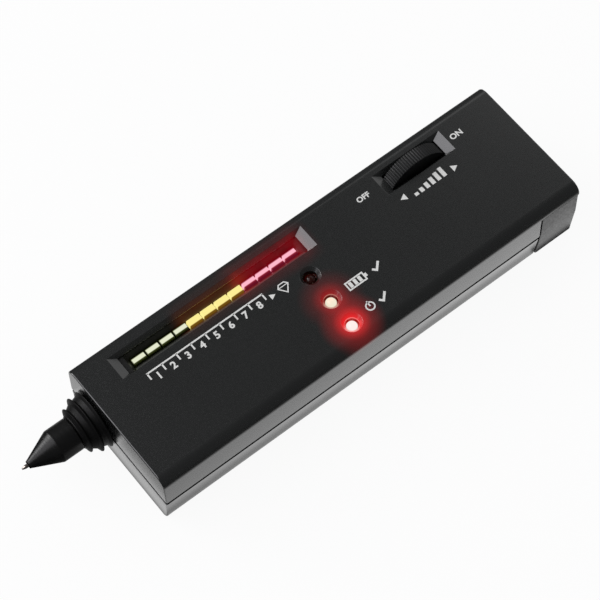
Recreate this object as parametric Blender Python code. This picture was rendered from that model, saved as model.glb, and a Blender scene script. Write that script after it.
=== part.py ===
"""Pocket diamond tester: a flat two-shell case with a sprung thermal probe, a row of twelve
indicator lights, three round lamps, an edge wheel for switching on and setting the level, and a
rear cap that slides off the battery bay.

Metres, +Z up. +X runs from the probe to the battery end and +Y to the side that carries the lights.
The origin lies under the middle of the whole object, on the plane that it rests on. Places along
the case are given as distances behind its front wall, and along() turns them into X.
"""

import math

import bmesh
import bpy
from mathutils import Matrix, Vector

for old in list(bpy.data.objects):
    bpy.data.objects.remove(old, do_unlink=True)

# Overall sizes
CASE_LENGTH = 0.1300
CASE_WIDTH = 0.0394
CASE_HEIGHT = 0.0220
PROBE_LENGTH = 0.0219
GAP = 0.0003
OVERRUN = 0.0010

# Case walls and outline
PARTING_SHARE = 0.5
GROOVE_DEPTH = 0.0005
GROOVE_HEIGHT = 0.0010
UPPER_DRAFT = 0.0001
LOWER_DRAFT = 0.0011
TOP_EDGE_RADIUS = 0.0030
BOTTOM_EDGE_RADIUS = 0.0014
END_EDGE_BEVEL = 0.0004
SIDE_WALL = 0.0016
TOP_WALL = 0.0015
FLOOR = 0.0018
LIP_HEIGHT = 0.0012
LIP_THICKNESS = 0.0007

# Battery cover
COVER_LENGTH = 0.01235
COVER_SET_IN = 0.0004
COVER_DRAFT = 0.0008
TONGUE_LENGTH = 0.0080
TONGUE_ROOT = 0.0030
TONGUE_THICKNESS = 0.0008
TONGUE_TOP_CLEARANCE = 0.0004

# Windows in the upper shell: a sloped frame round a straight opening
FRAME_DEPTH = 0.0013
FRAME_END_SLOPE = 0.0024
FRAME_SIDE_SLOPE = 0.00095
LIGHT_ROW_INSET = 0.0076
LIGHT_WINDOW_START = 0.0089
LIGHT_WINDOW_BOSS_CLEARANCE = 0.0001
WHEEL_WINDOW_LENGTH = 0.0218
WINDOW_WIDTH = 0.00685

# Twelve indicator lights and their holder
LIGHTS_PER_COLOUR = 4
LIGHT_FRONT_MARGIN = 0.00260
LIGHT_REAR_MARGIN = 0.00178
LIGHT_WIDTH = 0.0022
LIGHT_TOP_DEPTH = 0.0027
HOLDER_WIDTH = 0.0058
HOLDER_MARGIN = 0.0004
HOLDER_GROOVE_WIDTH = 0.0046
HOLDER_GROOVE_DEPTH = 0.0012

# Three round lamps
LAMP_WINDOW_INSET = 0.0068
LAMP_FIRST_SHARE = 0.147
LAMP_PITCH_SHARE = 0.416
LAMP_RADIUS = 0.0015
LAMP_FLANGE_RADIUS = 0.0019
LAMP_FLANGE_HEIGHT = 0.0010
LAMP_HEIGHT = 0.0055
LAMP_HOLE_CLEARANCE = 0.00035
COUNTERSINK_RADIUS = 0.0027
COUNTERSINK_DEPTH = 0.0009

# Circuit board
BOARD_TOP_DEPTH = 0.0067
BOARD_THICKNESS = 0.0016
BOARD_START = 0.0122
BOARD_SNAP_CLEARANCE = 0.0010
BOARD_EDGE_CLEARANCE = 0.0003
ARM_WIDTH = 0.0066
ARM_TIP_WIDTH = 0.0024
ARM_TIP_LENGTH = 0.0034
ARM_POT_CLEARANCE = 0.0005

# Edge wheel and its potentiometer
WHEEL_REAR_INSET = 0.0281
WHEEL_RADIUS = 0.0096
WHEEL_RISE = 0.0032
WHEEL_THICKNESS = 0.0037
WHEEL_TEETH = 80
WHEEL_TOOTH_DEPTH = 0.0002
WHEEL_TOOTH_SHARES = (0, 1 / 3, 2 / 3)
WHEEL_RECESS_RADIUS = 0.0021
WHEEL_RECESS_DEPTH = 0.0010
SHAFT_RADIUS = 0.0015
POT_LENGTH = 0.0130
POT_THICKNESS = 0.0030
POT_WHEEL_CLEARANCE = 0.0004
POT_TOP_CLEARANCE = 0.0004
WHEEL_SCREW_HEAD_RADIUS = 0.0017
WHEEL_SCREW_HEAD_HEIGHT = 0.0006
WHEEL_SCREW_SHANK_RADIUS = 0.0006
WHEEL_SCREW_SHANK_LENGTH = 0.0025
LUG_WIDTH = 0.0005
LUG_THICKNESS = 0.0004
LUG_PITCH = 0.0009
LUG_ROOT = 0.0010

# Probe, on an axis that lies beside the middle of the case
PROBE_INSET = 0.0104
PROBE_BELOW_PARTING = 0.0001
NEEDLE_RADIUS = 0.0005
NEEDLE_SHOWING = 0.0018
NEEDLE_TRAVEL = 0.0010
CONE_LENGTH = 0.0078
CONE_TIP_RADIUS = 0.0010
CONE_RADIUS = 0.0045
CONE_NECK_RADIUS = 0.0034
CONE_NECK_LENGTH = 0.0030
COLLAR_LENGTH = 0.0064
COLLAR_FRONT_RADIUS = 0.0047
COLLAR_ROOT_RADIUS = 0.0070
RIDGE_FIRST = 0.0055
RIDGE_PITCH = 0.00245
RIDGE_CREST_RADII = (0.00630, 0.00775, 0.00800)
RIDGE_HALF_BASE = 0.0006
COLLAR_THROAT_RADIUS = 0.0062
COLLAR_FLANGE_RADIUS = 0.0079
COLLAR_FLANGE_THICKNESS = 0.0015

# Parts inside the probe
TUBE_RADIUS = 0.0019
TUBE_BORE = 0.0015
TUBE_LENGTH = 0.0202
TUBE_REACH_SHARE = 0.25
HEATER_RADIUS = 0.0012
HEATER_LENGTH = 0.0046
NEEDLE_SEAT = 0.0029
SPRING_RADIUS = 0.00095
SPRING_WIRE_RADIUS = 0.0002
SPRING_TURNS = 6
SPRING_LENGTH = 0.0082
SPRING_STEPS_PER_TURN = 10
PLUG_FLANGE = 0.0015

# Battery bay
BATTERY_SIDE_CLEARANCE = 0.0004
BATTERY_LENGTH = 0.0460
BATTERY_EDGE_RADIUS = 0.0016
TERMINAL_PITCH_SHARE = 0.497
TERMINAL_LENGTH = 0.0027
TERMINAL_RADIUS = 0.0029
DIVIDER_THICKNESS = 0.0007
DIVIDER_TOP_CLEARANCE = 0.0045
DIVIDER_REACH = 0.0042
SNAP_THICKNESS = 0.0019
SNAP_INSET = 0.0008
SNAP_HEIGHT = 0.0110
SNAP_CUP_WALL = 0.0005
SNAP_CUP_DEPTH = 0.0021
SNAP_REST_THICKNESS = 0.0010
SNAP_REST_LEAD_CLEARANCE = 0.0013
PAD_THICKNESS = 0.0006
PAD_LENGTH = 0.0300
PAD_WIDTH = 0.0180

# Case screws, their posts and bosses
SCREW_FRONT_X = 0.0072
SCREW_BOARD_INSET = 0.0035
SCREW_SIDE_INSET = 0.0051
POST_RADIUS = 0.0032
BOSS_RADIUS = 0.0026
SCREW_SHANK_RADIUS = 0.0010
SCREW_HEAD_RADIUS = 0.0020
SCREW_HEAD_HEIGHT = 0.0013
SCREW_TIP_DEPTH = 0.0048

# Plate in the underside that the finger touches
TOUCH_PLATE_PLACE_SHARE = 0.354
TOUCH_PLATE_LENGTH = 0.0320
TOUCH_PLATE_WIDTH = 0.0080
TOUCH_PLATE_THICKNESS = 0.0004
TOUCH_PLATE_SET_BACK = 0.0001
TAB_WIDTH = 0.0030
TAB_HEIGHT = 0.0033
TAB_INSET = 0.0025

# Parts on the board
CHIP_WIDTH = 0.0064
CHIP_HEIGHT = 0.0032
CHIP_ROW_SHARE = 0.34
CHIP_ROW_START_SHARE = 0.29
CHIP_SPACING_SHARE = 0.17
LONG_CHIP_LENGTH = 0.0190
LONG_CHIP_LEGS = 7
LONG_CHIP_LEG_INSET = 0.0019
SHORT_CHIP_LENGTH = 0.0096
SHORT_CHIP_LEGS = 4
SHORT_CHIP_LEG_INSET = 0.0010
LEG_WIDTH = 0.0005
LEG_STAND_OUT = 0.0006
LEG_HEIGHT = 0.0022
RESISTOR_COUNT = 4
RESISTOR_FIRST_X = 0.0180
RESISTOR_RADIUS = 0.0009
RESISTOR_WAIST_RADIUS = 0.0007
RESISTOR_LENGTH = 0.0050
RESISTOR_WAIST_INSET = 0.0012
RESISTOR_HOLDER_CLEARANCE = 0.0017
CAPACITOR_RADIUS = 0.0025
CAPACITOR_FLOOR_CLEARANCE = 0.0024
CAPACITOR_X = 0.0200
CAPACITOR_PITCH = 0.0070
CAPACITOR_EDGE_INSET = 0.0018
TRIMMER_SIDE = 0.0066
TRIMMER_HEIGHT = 0.0036
TRIMMER_DIAL_RADIUS = 0.0019
TRIMMER_DIAL_HEIGHT = 0.0005
TRIMMER_X = 0.0240
TRIMMER_PITCH = 0.0100
TRIMMER_EDGE_INSET = 0.0025
BUZZER_RADIUS = 0.0060
BUZZER_FLOOR_CLEARANCE = 0.0034
BUZZER_HOLE_RADIUS = 0.0012
BUZZER_HOLE_DEPTH = 0.0012
BUZZER_PLACE_SHARE = 0.543
BUZZER_EDGE_INSET = 0.0008
REGULATOR_RADIUS = 0.0023
REGULATOR_FLAT = 0.0013
REGULATOR_HEIGHT = 0.0046
REGULATOR_PLACE_SHARE = 0.80
REGULATOR_EDGE_INSET = 0.0035

# Leads
LEAD_RADIUS = 0.0006
FINE_LEAD_RADIUS = 0.0003
FINE_LEAD_PITCH = 0.0009
LEAD_SPACING = 0.0030
LEAD_BOARD_INSET = 0.0030
LEAD_BEND = 0.0016
LEAD_BELOW_BOARD = 0.0028
PROBE_LEAD_END_X = 0.0146

# Fineness of round shapes
ROUND_STEPS = 24
SMALL_ROUND_STEPS = 16
TINY_ROUND_STEPS = 8
EDGE_STEPS = 5
WELD = 0.000001
SHARP_ANGLE = math.radians(35)

# Places worked out from the sizes above
FRONT_X = (PROBE_LENGTH - CASE_LENGTH) / 2
SEAM = CASE_LENGTH - COVER_LENGTH
COVER_REAR = CASE_LENGTH - COVER_SET_IN
COVER_HEIGHT = CASE_HEIGHT - TOP_EDGE_RADIUS - GAP
PARTING_HEIGHT = CASE_HEIGHT * PARTING_SHARE
HALF_WIDTH = CASE_WIDTH / 2
LIGHT_ROW_Y = HALF_WIDTH - LIGHT_ROW_INSET
PROBE_Y = HALF_WIDTH - PROBE_INSET
SCREW_Y = HALF_WIDTH - SCREW_SIDE_INSET
PROBE_HEIGHT = PARTING_HEIGHT - PROBE_BELOW_PARTING
BOARD_TOP = CASE_HEIGHT - BOARD_TOP_DEPTH
BOARD_BOTTOM = BOARD_TOP - BOARD_THICKNESS
UNDER_BOARD = BOARD_BOTTOM - GAP
CEILING = CASE_HEIGHT - TOP_WALL
LIP_OUTSIDE = HALF_WIDTH - SIDE_WALL - GAP
LOWER_INSIDE = LIP_OUTSIDE - LIP_THICKNESS
BOARD_HALF = LOWER_INSIDE - BOARD_EDGE_CLEARANCE
ARM_NEAR_Y = BOARD_HALF - ARM_WIDTH
ARM_TIP_NEAR_Y = BOARD_HALF - ARM_TIP_WIDTH
WHEEL_X = CASE_LENGTH - WHEEL_REAR_INSET
WHEEL_HEIGHT = CASE_HEIGHT + WHEEL_RISE - WHEEL_RADIUS
WHEEL_NEAR_Y = LIGHT_ROW_Y - WHEEL_THICKNESS / 2
WHEEL_FAR_Y = LIGHT_ROW_Y + WHEEL_THICKNESS / 2
POT_NEAR_Y = WHEEL_FAR_Y + POT_WHEEL_CLEARANCE
POT_FRONT = WHEEL_X - POT_LENGTH / 2
ARM_END = POT_FRONT - ARM_POT_CLEARANCE - ARM_TIP_LENGTH
DIVIDER_FAR_Y = WHEEL_NEAR_Y - GAP
DIVIDER_NEAR_Y = DIVIDER_FAR_Y - DIVIDER_THICKNESS
BATTERY_LOW = FLOOR + GAP
BATTERY_HIGH = CEILING - GAP - PAD_THICKNESS - GAP
BATTERY_HEIGHT = BATTERY_HIGH - BATTERY_LOW
BATTERY_REAR = COVER_REAR - SIDE_WALL - GAP
BATTERY_FRONT = BATTERY_REAR - BATTERY_LENGTH
BATTERY_NEAR_Y = -LOWER_INSIDE + BATTERY_SIDE_CLEARANCE
BATTERY_FAR_Y = DIVIDER_NEAR_Y - BATTERY_SIDE_CLEARANCE
BATTERY_WIDTH = BATTERY_FAR_Y - BATTERY_NEAR_Y
BATTERY_Y = (BATTERY_FAR_Y + BATTERY_NEAR_Y) / 2
BATTERY_Z = BATTERY_LOW + BATTERY_HEIGHT / 2
SNAP_REAR = BATTERY_FRONT - TERMINAL_LENGTH - GAP
SNAP_FRONT = SNAP_REAR - SNAP_THICKNESS
SNAP_REST_FRONT = SNAP_FRONT - GAP - SNAP_REST_THICKNESS
BOARD_END = SNAP_REST_FRONT - BOARD_SNAP_CLEARANCE
BOARD_LENGTH = BOARD_END - BOARD_START
SCREW_REAR_X = BOARD_END - SCREW_BOARD_INSET
LIGHT_WINDOW_END = SCREW_REAR_X - BOSS_RADIUS - LIGHT_WINDOW_BOSS_CLEARANCE
LIGHT_WINDOW_LENGTH = LIGHT_WINDOW_END - LIGHT_WINDOW_START
LIGHT_ROW_START = LIGHT_WINDOW_START + FRAME_END_SLOPE + LIGHT_FRONT_MARGIN
LIGHT_ROW_END = LIGHT_WINDOW_END - FRAME_END_SLOPE - LIGHT_REAR_MARGIN
LAMP_X = LIGHT_WINDOW_END - LAMP_WINDOW_INSET
TOUCH_PLATE_X = CASE_LENGTH * TOUCH_PLATE_PLACE_SHARE
CHIP_Y = BOARD_HALF * CHIP_ROW_SHARE
COLLAR_FLANGE_REAR = SIDE_WALL + GAP + COLLAR_FLANGE_THICKNESS
POST_TOP = UNDER_BOARD
SCREW_LENGTH = CASE_HEIGHT - SCREW_TIP_DEPTH
LEAD_HEIGHT = BOARD_BOTTOM - LEAD_BELOW_BOARD
SNAP_REST_TOP = LEAD_HEIGHT - LEAD_RADIUS - SNAP_REST_LEAD_CLEARANCE
CAPACITOR_HEIGHT = UNDER_BOARD - FLOOR - CAPACITOR_FLOOR_CLEARANCE
BUZZER_HEIGHT = UNDER_BOARD - FLOOR - BUZZER_FLOOR_CLEARANCE
SHOULDER = COLLAR_LENGTH + GAP
CONE_SHOULDER = PROBE_LENGTH - NEEDLE_SHOWING - CONE_LENGTH
TUBE_FRONT = CONE_SHOULDER + CONE_LENGTH * TUBE_REACH_SHARE


def along(distance):
    """X of a place that lies this far behind the front wall's outer face."""
    return FRONT_X + distance


def upper_half(height):
    """Half width of the upper shell's outside at a height."""
    share = (height - PARTING_HEIGHT) / (CASE_HEIGHT - PARTING_HEIGHT)
    return HALF_WIDTH - UPPER_DRAFT * share


def lower_half(height, draft):
    """Half width of the outside at a height below the parting line."""
    share = (PARTING_HEIGHT - height) / PARTING_HEIGHT
    return HALF_WIDTH - draft * share


def quarter(centre_y, centre_z, radius, start_turns):
    """Points of a quarter circle that starts at this many quarter turns from +Y."""
    points = []
    for step in range(EDGE_STEPS + 1):
        angle = (start_turns + step / EDGE_STEPS) * math.pi / 2
        points.append((centre_y + radius * math.cos(angle), centre_z + radius * math.sin(angle)))
    return points


def roof_outline(low, top, radius, inset):
    """Section of the upper shell between two heights, as (y, z), rounded along its top edges."""
    foot = upper_half(low) - inset
    head = upper_half(top) - inset - radius
    right = quarter(head, top - radius, radius, 0)
    left = quarter(-head, top - radius, radius, 1)
    return [(foot, low)] + right + left + [(-foot, low)]


def keel_outline(high, draft):
    """Section of the case up to a height, as (y, z), rounded along its bottom edges."""
    foot = lower_half(0, draft) - BOTTOM_EDGE_RADIUS
    left = quarter(-foot, BOTTOM_EDGE_RADIUS, BOTTOM_EDGE_RADIUS, 2)
    right = quarter(foot, BOTTOM_EDGE_RADIUS, BOTTOM_EDGE_RADIUS, 3)
    half = lower_half(high, draft)
    return [(-half, high)] + left + right + [(half, high)]


def new_material(name, colour, roughness, metallic):
    material = bpy.data.materials.new(name)
    material.use_nodes = True
    shader = material.node_tree.nodes["Principled BSDF"]
    shader.inputs["Base Color"].default_value = (*colour, 1)
    shader.inputs["Roughness"].default_value = roughness
    shader.inputs["Metallic"].default_value = metallic
    return material


def solid(name, shapes, colour, roughness, metallic=0, pivot=(0, 0, 0)):
    """One object made of one or more closed shapes, with its origin at pivot."""
    whole = bmesh.new()
    for shape in shapes:
        carrier = bpy.data.meshes.new("carrier")
        shape.to_mesh(carrier)
        shape.free()
        whole.from_mesh(carrier)
        bpy.data.meshes.remove(carrier)
    bmesh.ops.translate(whole, vec=-Vector(pivot), verts=whole.verts)
    mesh = bpy.data.meshes.new(name)
    whole.to_mesh(mesh)
    whole.free()
    mesh.shade_smooth()
    mesh.set_sharp_from_angle(angle=SHARP_ANGLE)
    mesh.materials.append(new_material(name, colour, roughness, metallic))
    piece = bpy.data.objects.new(name, mesh)
    piece.location = pivot
    bpy.context.collection.objects.link(piece)
    return piece


def combine(piece, tool_name, shapes, operation):
    """Cuts the shapes out of a piece, or joins them to it, through a hidden tool object."""
    tool = solid(tool_name, shapes, (1, 1, 1), 1)
    tool.hide_render = True
    tool.display_type = "WIRE"
    modifier = piece.modifiers.new(tool_name, "BOOLEAN")
    modifier.operation = operation
    modifier.solver = "EXACT"
    modifier.object = tool


def cut(piece, tool_name, shapes):
    combine(piece, tool_name, shapes, "DIFFERENCE")


def join(piece, tool_name, shapes):
    combine(piece, tool_name, shapes, "UNION")


def stacked(rings):
    """Closed shape through rings of equally many points, with flat ends."""
    shape = bmesh.new()
    loops = [[shape.verts.new(point) for point in ring] for ring in rings]
    count = len(loops[0])
    for lower, upper in zip(loops, loops[1:]):
        for index in range(count):
            after = (index + 1) % count
            shape.faces.new((lower[index], lower[after], upper[after], upper[index]))
    shape.faces.new(loops[0])
    shape.faces.new(loops[-1])
    bmesh.ops.recalc_face_normals(shape, faces=shape.faces)
    return shape


def box(low, high):
    """Box between two corners."""
    shape = bmesh.new()
    bmesh.ops.create_cube(shape, size=1)
    span = Vector(high) - Vector(low)
    middle = (Vector(high) + Vector(low)) / 2
    bmesh.ops.scale(shape, vec=span, verts=shape.verts)
    bmesh.ops.translate(shape, vec=middle, verts=shape.verts)
    return shape


def prism_x(outline, start, end):
    """Outline of (y, z) points drawn out along X."""
    return stacked([[(x, y, z) for y, z in outline] for x in (start, end)])


def prism_y(outline, start, end):
    """Outline of (x, z) points drawn out along Y."""
    return stacked([[(x, y, z) for x, z in outline] for y in (start, end)])


def prism_z(outline, start, end):
    """Outline of (x, y) points drawn out along Z."""
    return stacked([[(x, y, z) for x, y in outline] for z in (start, end)])


def rectangle(low_a, high_a, low_b, high_b):
    return [(low_a, low_b), (high_a, low_b), (high_a, high_b), (low_a, high_b)]


def turned(profile, foot, direction, steps, bored=False):
    """Profile of (distance, radius) points turned about a line from foot along direction.

    A bored profile is a closed loop that stays off the line. Any other one ends on the line.
    """
    shape = bmesh.new()
    points = [shape.verts.new((radius, 0, distance)) for distance, radius in profile]
    edges = [shape.edges.new(pair) for pair in zip(points, points[1:])]
    if bored:
        edges.append(shape.edges.new((points[-1], points[0])))
    bmesh.ops.spin(
        shape,
        geom=points + edges,
        axis=(0, 0, 1),
        cent=(0, 0, 0),
        angle=math.tau,
        steps=steps,
        use_merge=True,
    )
    bmesh.ops.remove_doubles(shape, verts=shape.verts, dist=WELD)
    bmesh.ops.recalc_face_normals(shape, faces=shape.faces)
    turn = Vector((0, 0, 1)).rotation_difference(Vector(direction)).to_matrix().to_4x4()
    bmesh.ops.transform(shape, matrix=Matrix.Translation(foot) @ turn, verts=shape.verts)
    return shape


def rod(foot, direction, length, radius, steps):
    """Plain round bar."""
    return turned([(0, 0), (0, radius), (length, radius), (length, 0)], foot, direction, steps)


def ease_end(shape, x, flat_z):
    """Breaks the sharp edges round an end face, apart from the edge that lies at flat_z."""
    picked = []
    for edge in shape.edges:
        at_end = all(abs(vert.co.x - x) < WELD for vert in edge.verts)
        on_flat = all(abs(vert.co.z - flat_z) < WELD for vert in edge.verts)
        if at_end and not on_flat:
            picked.append(edge)
    bmesh.ops.bevel(
        shape, geom=picked, offset=END_EDGE_BEVEL, segments=2, profile=0.5, affect="EDGES", material=-1
    )
    return shape


def framed_window(start, length):
    """Cutter for an opening with four sloped sides, cut through the top wall."""
    side_rate = FRAME_SIDE_SLOPE / FRAME_DEPTH
    end_rate = FRAME_END_SLOPE / FRAME_DEPTH
    rings = []
    for depth, height in (
        (-OVERRUN, CASE_HEIGHT + OVERRUN),
        (FRAME_DEPTH, CASE_HEIGHT - FRAME_DEPTH),
        (FRAME_DEPTH, CEILING - OVERRUN),
    ):
        low_x = along(start) + end_rate * depth
        high_x = along(start + length) - end_rate * depth
        half = WINDOW_WIDTH / 2 - side_rate * depth
        outline = rectangle(low_x, high_x, LIGHT_ROW_Y - half, LIGHT_ROW_Y + half)
        rings.append([(x, y, height) for x, y in outline])
    return stacked(rings)


def post_places():
    """Screw places as (distance behind the front wall, y)."""
    places = []
    for distance in (SCREW_FRONT_X, SCREW_REAR_X):
        for side in (-1, 1):
            places.append((distance, side * SCREW_Y))
    return places


def probe_place(distance):
    """Point on the probe's axis, this far in front of the case."""
    return (along(-distance), PROBE_Y, PROBE_HEIGHT)


def collar_hole():
    """Cutter for the round hole in the front wall, half in each shell."""
    return rod(
        probe_place(OVERRUN), BACK, SIDE_WALL + 2 * OVERRUN, COLLAR_THROAT_RADIUS + GAP, ROUND_STEPS
    )


def collar_space():
    """Cutter for the room of the collar's flange behind the front wall, half in each shell."""
    return rod(
        (along(SIDE_WALL), PROBE_Y, PROBE_HEIGHT),
        BACK,
        COLLAR_FLANGE_REAR + GAP - SIDE_WALL,
        COLLAR_FLANGE_RADIUS + GAP,
        ROUND_STEPS,
    )


def collar_radius(distance):
    """Radius between the ridges, this far in front of the case."""
    share = (COLLAR_LENGTH - distance) / COLLAR_LENGTH
    return COLLAR_FRONT_RADIUS + (COLLAR_ROOT_RADIUS - COLLAR_FRONT_RADIUS) * share


def tube_curve(name, points, radius, resolution, colour, roughness, metallic=0):
    """Round wire through points, with closed ends."""
    curve = bpy.data.curves.new(name, "CURVE")
    curve.dimensions = "3D"
    curve.bevel_depth = radius
    curve.bevel_resolution = resolution
    curve.resolution_u = 1
    curve.use_fill_caps = True
    spline = curve.splines.new("POLY")
    spline.points.add(len(points) - 1)
    for place, point in zip(spline.points, points):
        place.co = (*point, 1)
    curve.materials.append(new_material(name, colour, roughness, metallic))
    wire = bpy.data.objects.new(name, curve)
    bpy.context.collection.objects.link(wire)
    return wire


def chip(name, distance, length, leg_count, leg_inset):
    """Flat black chip hanging under the board, joined to its legs."""
    top = UNDER_BOARD
    low = (along(distance - length / 2), CHIP_Y - CHIP_WIDTH / 2, top - CHIP_HEIGHT)
    high = (along(distance + length / 2), CHIP_Y + CHIP_WIDTH / 2, top - GAP)
    body = solid(name, [box(low, high)], (0.02, 0.02, 0.02), 0.5)
    legs = []
    leg_pitch = (length - 2 * leg_inset) / (leg_count - 1)
    for index in range(leg_count):
        place = distance + (index - (leg_count - 1) / 2) * leg_pitch
        for side in (-1, 1):
            inner = CHIP_Y + side * (CHIP_WIDTH / 2 - LEG_STAND_OUT)
            outer = CHIP_Y + side * (CHIP_WIDTH / 2 + LEG_STAND_OUT)
            low = (along(place - LEG_WIDTH / 2), min(inner, outer), top - LEG_HEIGHT)
            high = (along(place + LEG_WIDTH / 2), max(inner, outer), top)
            legs.append(box(low, high))
    join(body, name + "_legs", legs)


UP = (0, 0, 1)
DOWN = (0, 0, -1)
FORWARD = (-1, 0, 0)
BACK = (1, 0, 0)
FAR = (0, 1, 0)

BLACK_PLASTIC = (0.022, 0.024, 0.023)
PROBE_BLACK = (0.010, 0.010, 0.010)
BOARD_GREEN = (0.020, 0.110, 0.045)
BRASS = (0.70, 0.48, 0.18)
STEEL = (0.62, 0.62, 0.60)

# Upper shell: top wall, side walls, windows, lamp holes and four screw bosses
upper_low = PARTING_HEIGHT + GAP / 2
roof = prism_x(
    roof_outline(upper_low, CASE_HEIGHT, TOP_EDGE_RADIUS, 0), along(0), along(CASE_LENGTH)
)
ease_end(roof, along(0), upper_low)
ease_end(roof, along(CASE_LENGTH), upper_low)
upper_shell = solid("upper_shell", [roof], BLACK_PLASTIC, 0.38)
cut(
    upper_shell,
    "upper_hollow",
    [
        prism_x(
            roof_outline(upper_low - OVERRUN, CEILING, TOP_EDGE_RADIUS - TOP_WALL, SIDE_WALL),
            along(SIDE_WALL),
            along(CASE_LENGTH - SIDE_WALL),
        )
    ],
)
cut(
    upper_shell,
    "cover_space",
    [
        box(
            (along(SEAM - GAP / 2), -CASE_WIDTH, -OVERRUN),
            (along(CASE_LENGTH + OVERRUN), CASE_WIDTH, COVER_HEIGHT + GAP),
        )
    ],
)
cut(upper_shell, "light_window", [framed_window(LIGHT_WINDOW_START, LIGHT_WINDOW_LENGTH)])
cut(
    upper_shell,
    "wheel_window",
    [framed_window(WHEEL_X - WHEEL_WINDOW_LENGTH / 2, WHEEL_WINDOW_LENGTH)],
)
lamp_hole = LAMP_RADIUS + LAMP_HOLE_CLEARANCE
sink_rate = (COUNTERSINK_RADIUS - lamp_hole) / COUNTERSINK_DEPTH
lamp_y = [HALF_WIDTH * (LAMP_FIRST_SHARE - index * LAMP_PITCH_SHARE) for index in range(3)]
lamp_cutters = []
for y in lamp_y:
    lamp_cutters.append(
        turned(
            [
                (-OVERRUN, 0),
                (-OVERRUN, lamp_hole),
                (TOP_WALL - COUNTERSINK_DEPTH, lamp_hole),
                (TOP_WALL + OVERRUN, COUNTERSINK_RADIUS + sink_rate * OVERRUN),
                (TOP_WALL + OVERRUN, 0),
            ],
            (along(LAMP_X), y, CEILING),
            UP,
            ROUND_STEPS,
        )
    )
cut(upper_shell, "lamp_holes", lamp_cutters)
cut(upper_shell, "upper_collar_space", [collar_space()])
cut(upper_shell, "upper_collar_hole", [collar_hole()])
bosses = []
boss_bores = []
for distance, y in post_places():
    boss_low = POST_TOP + GAP if distance == SCREW_FRONT_X else BOARD_TOP + GAP
    foot = (along(distance), y, boss_low)
    bosses.append(rod(foot, UP, CEILING + TOP_WALL / 2 - boss_low, BOSS_RADIUS, SMALL_ROUND_STEPS))
    bore_foot = (along(distance), y, boss_low - OVERRUN)
    bore_top = SCREW_LENGTH + OVERRUN
    bore_length = bore_top - boss_low + OVERRUN
    bore_radius = SCREW_SHANK_RADIUS + GAP
    boss_bores.append(rod(bore_foot, UP, bore_length, bore_radius, SMALL_ROUND_STEPS))
join(upper_shell, "bosses", bosses)
cut(upper_shell, "boss_bores", boss_bores)

# Lower shell: floor, side walls with an inner lip and a groove along the parting line, four posts,
# battery divider and snap rest
lower_high = PARTING_HEIGHT - GAP / 2
keel = prism_x(keel_outline(lower_high, LOWER_DRAFT), along(0), along(SEAM - GAP / 2))
ease_end(keel, along(0), lower_high)
lower_shell = solid("lower_shell", [keel], BLACK_PLASTIC, 0.38)
groove_floor = HALF_WIDTH - GROOVE_DEPTH
groove_outline = [
    (along(-OVERRUN), -CASE_WIDTH),
    (along(SEAM + OVERRUN), -CASE_WIDTH),
    (along(SEAM + OVERRUN), -groove_floor),
    (along(GROOVE_DEPTH), -groove_floor),
    (along(GROOVE_DEPTH), groove_floor),
    (along(SEAM + OVERRUN), groove_floor),
    (along(SEAM + OVERRUN), CASE_WIDTH),
    (along(-OVERRUN), CASE_WIDTH),
]
groove = prism_z(groove_outline, lower_high - GROOVE_HEIGHT, lower_high + OVERRUN)
cut(lower_shell, "parting_groove", [groove])
lip_front = SIDE_WALL + GAP
join(
    lower_shell,
    "lip",
    [
        box(
            (along(lip_front), -LIP_OUTSIDE, FLOOR),
            (along(SEAM - GAP / 2), LIP_OUTSIDE, PARTING_HEIGHT + LIP_HEIGHT),
        )
    ],
)
cut(
    lower_shell,
    "lower_hollow",
    [
        box(
            (along(lip_front + LIP_THICKNESS), -LOWER_INSIDE, FLOOR),
            (along(SEAM + OVERRUN), LOWER_INSIDE, PARTING_HEIGHT + LIP_HEIGHT + OVERRUN),
        )
    ],
)
cut(lower_shell, "lower_collar_space", [collar_space()])
cut(lower_shell, "lower_collar_hole", [collar_hole()])
posts = [
    rod(
        (along(distance), y, FLOOR / 2), UP, POST_TOP - FLOOR / 2, POST_RADIUS, SMALL_ROUND_STEPS
    )
    for distance, y in post_places()
]
join(lower_shell, "posts", posts)
ribs = [
    box(
        (along(BATTERY_FRONT - DIVIDER_REACH), DIVIDER_NEAR_Y, FLOOR / 2),
        (along(SEAM - OVERRUN), DIVIDER_FAR_Y, CEILING - DIVIDER_TOP_CLEARANCE),
    ),
    box(
        (along(SNAP_REST_FRONT), -LOWER_INSIDE - GAP, FLOOR / 2),
        (along(SNAP_FRONT - GAP), BATTERY_FAR_Y, SNAP_REST_TOP),
    ),
]
join(lower_shell, "ribs", ribs)
head_room = SCREW_HEAD_HEIGHT + GAP
screw_cutters = []
for distance, y in post_places():
    profile = [
        (-OVERRUN, 0),
        (-OVERRUN, SCREW_HEAD_RADIUS + GAP),
        (head_room + GAP, SCREW_HEAD_RADIUS + GAP),
        (head_room + GAP, SCREW_SHANK_RADIUS + GAP),
        (POST_TOP + OVERRUN, SCREW_SHANK_RADIUS + GAP),
        (POST_TOP + OVERRUN, 0),
    ]
    screw_cutters.append(turned(profile, (along(distance), y, 0), UP, SMALL_ROUND_STEPS))
cut(lower_shell, "screw_holes", screw_cutters)
plate_half_length = TOUCH_PLATE_LENGTH / 2
plate_half_width = TOUCH_PLATE_WIDTH / 2
plate_top = TOUCH_PLATE_SET_BACK + TOUCH_PLATE_THICKNESS
tab_places = [TOUCH_PLATE_X + side * (plate_half_length - TAB_INSET) for side in (-1, 1)]
plate_cutters = [
    box(
        (along(TOUCH_PLATE_X - plate_half_length - GAP), -plate_half_width - GAP, -OVERRUN),
        (along(TOUCH_PLATE_X + plate_half_length + GAP), plate_half_width + GAP, plate_top + GAP),
    )
]
cut(lower_shell, "plate_recess", plate_cutters)
tab_cutters = []
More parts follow.
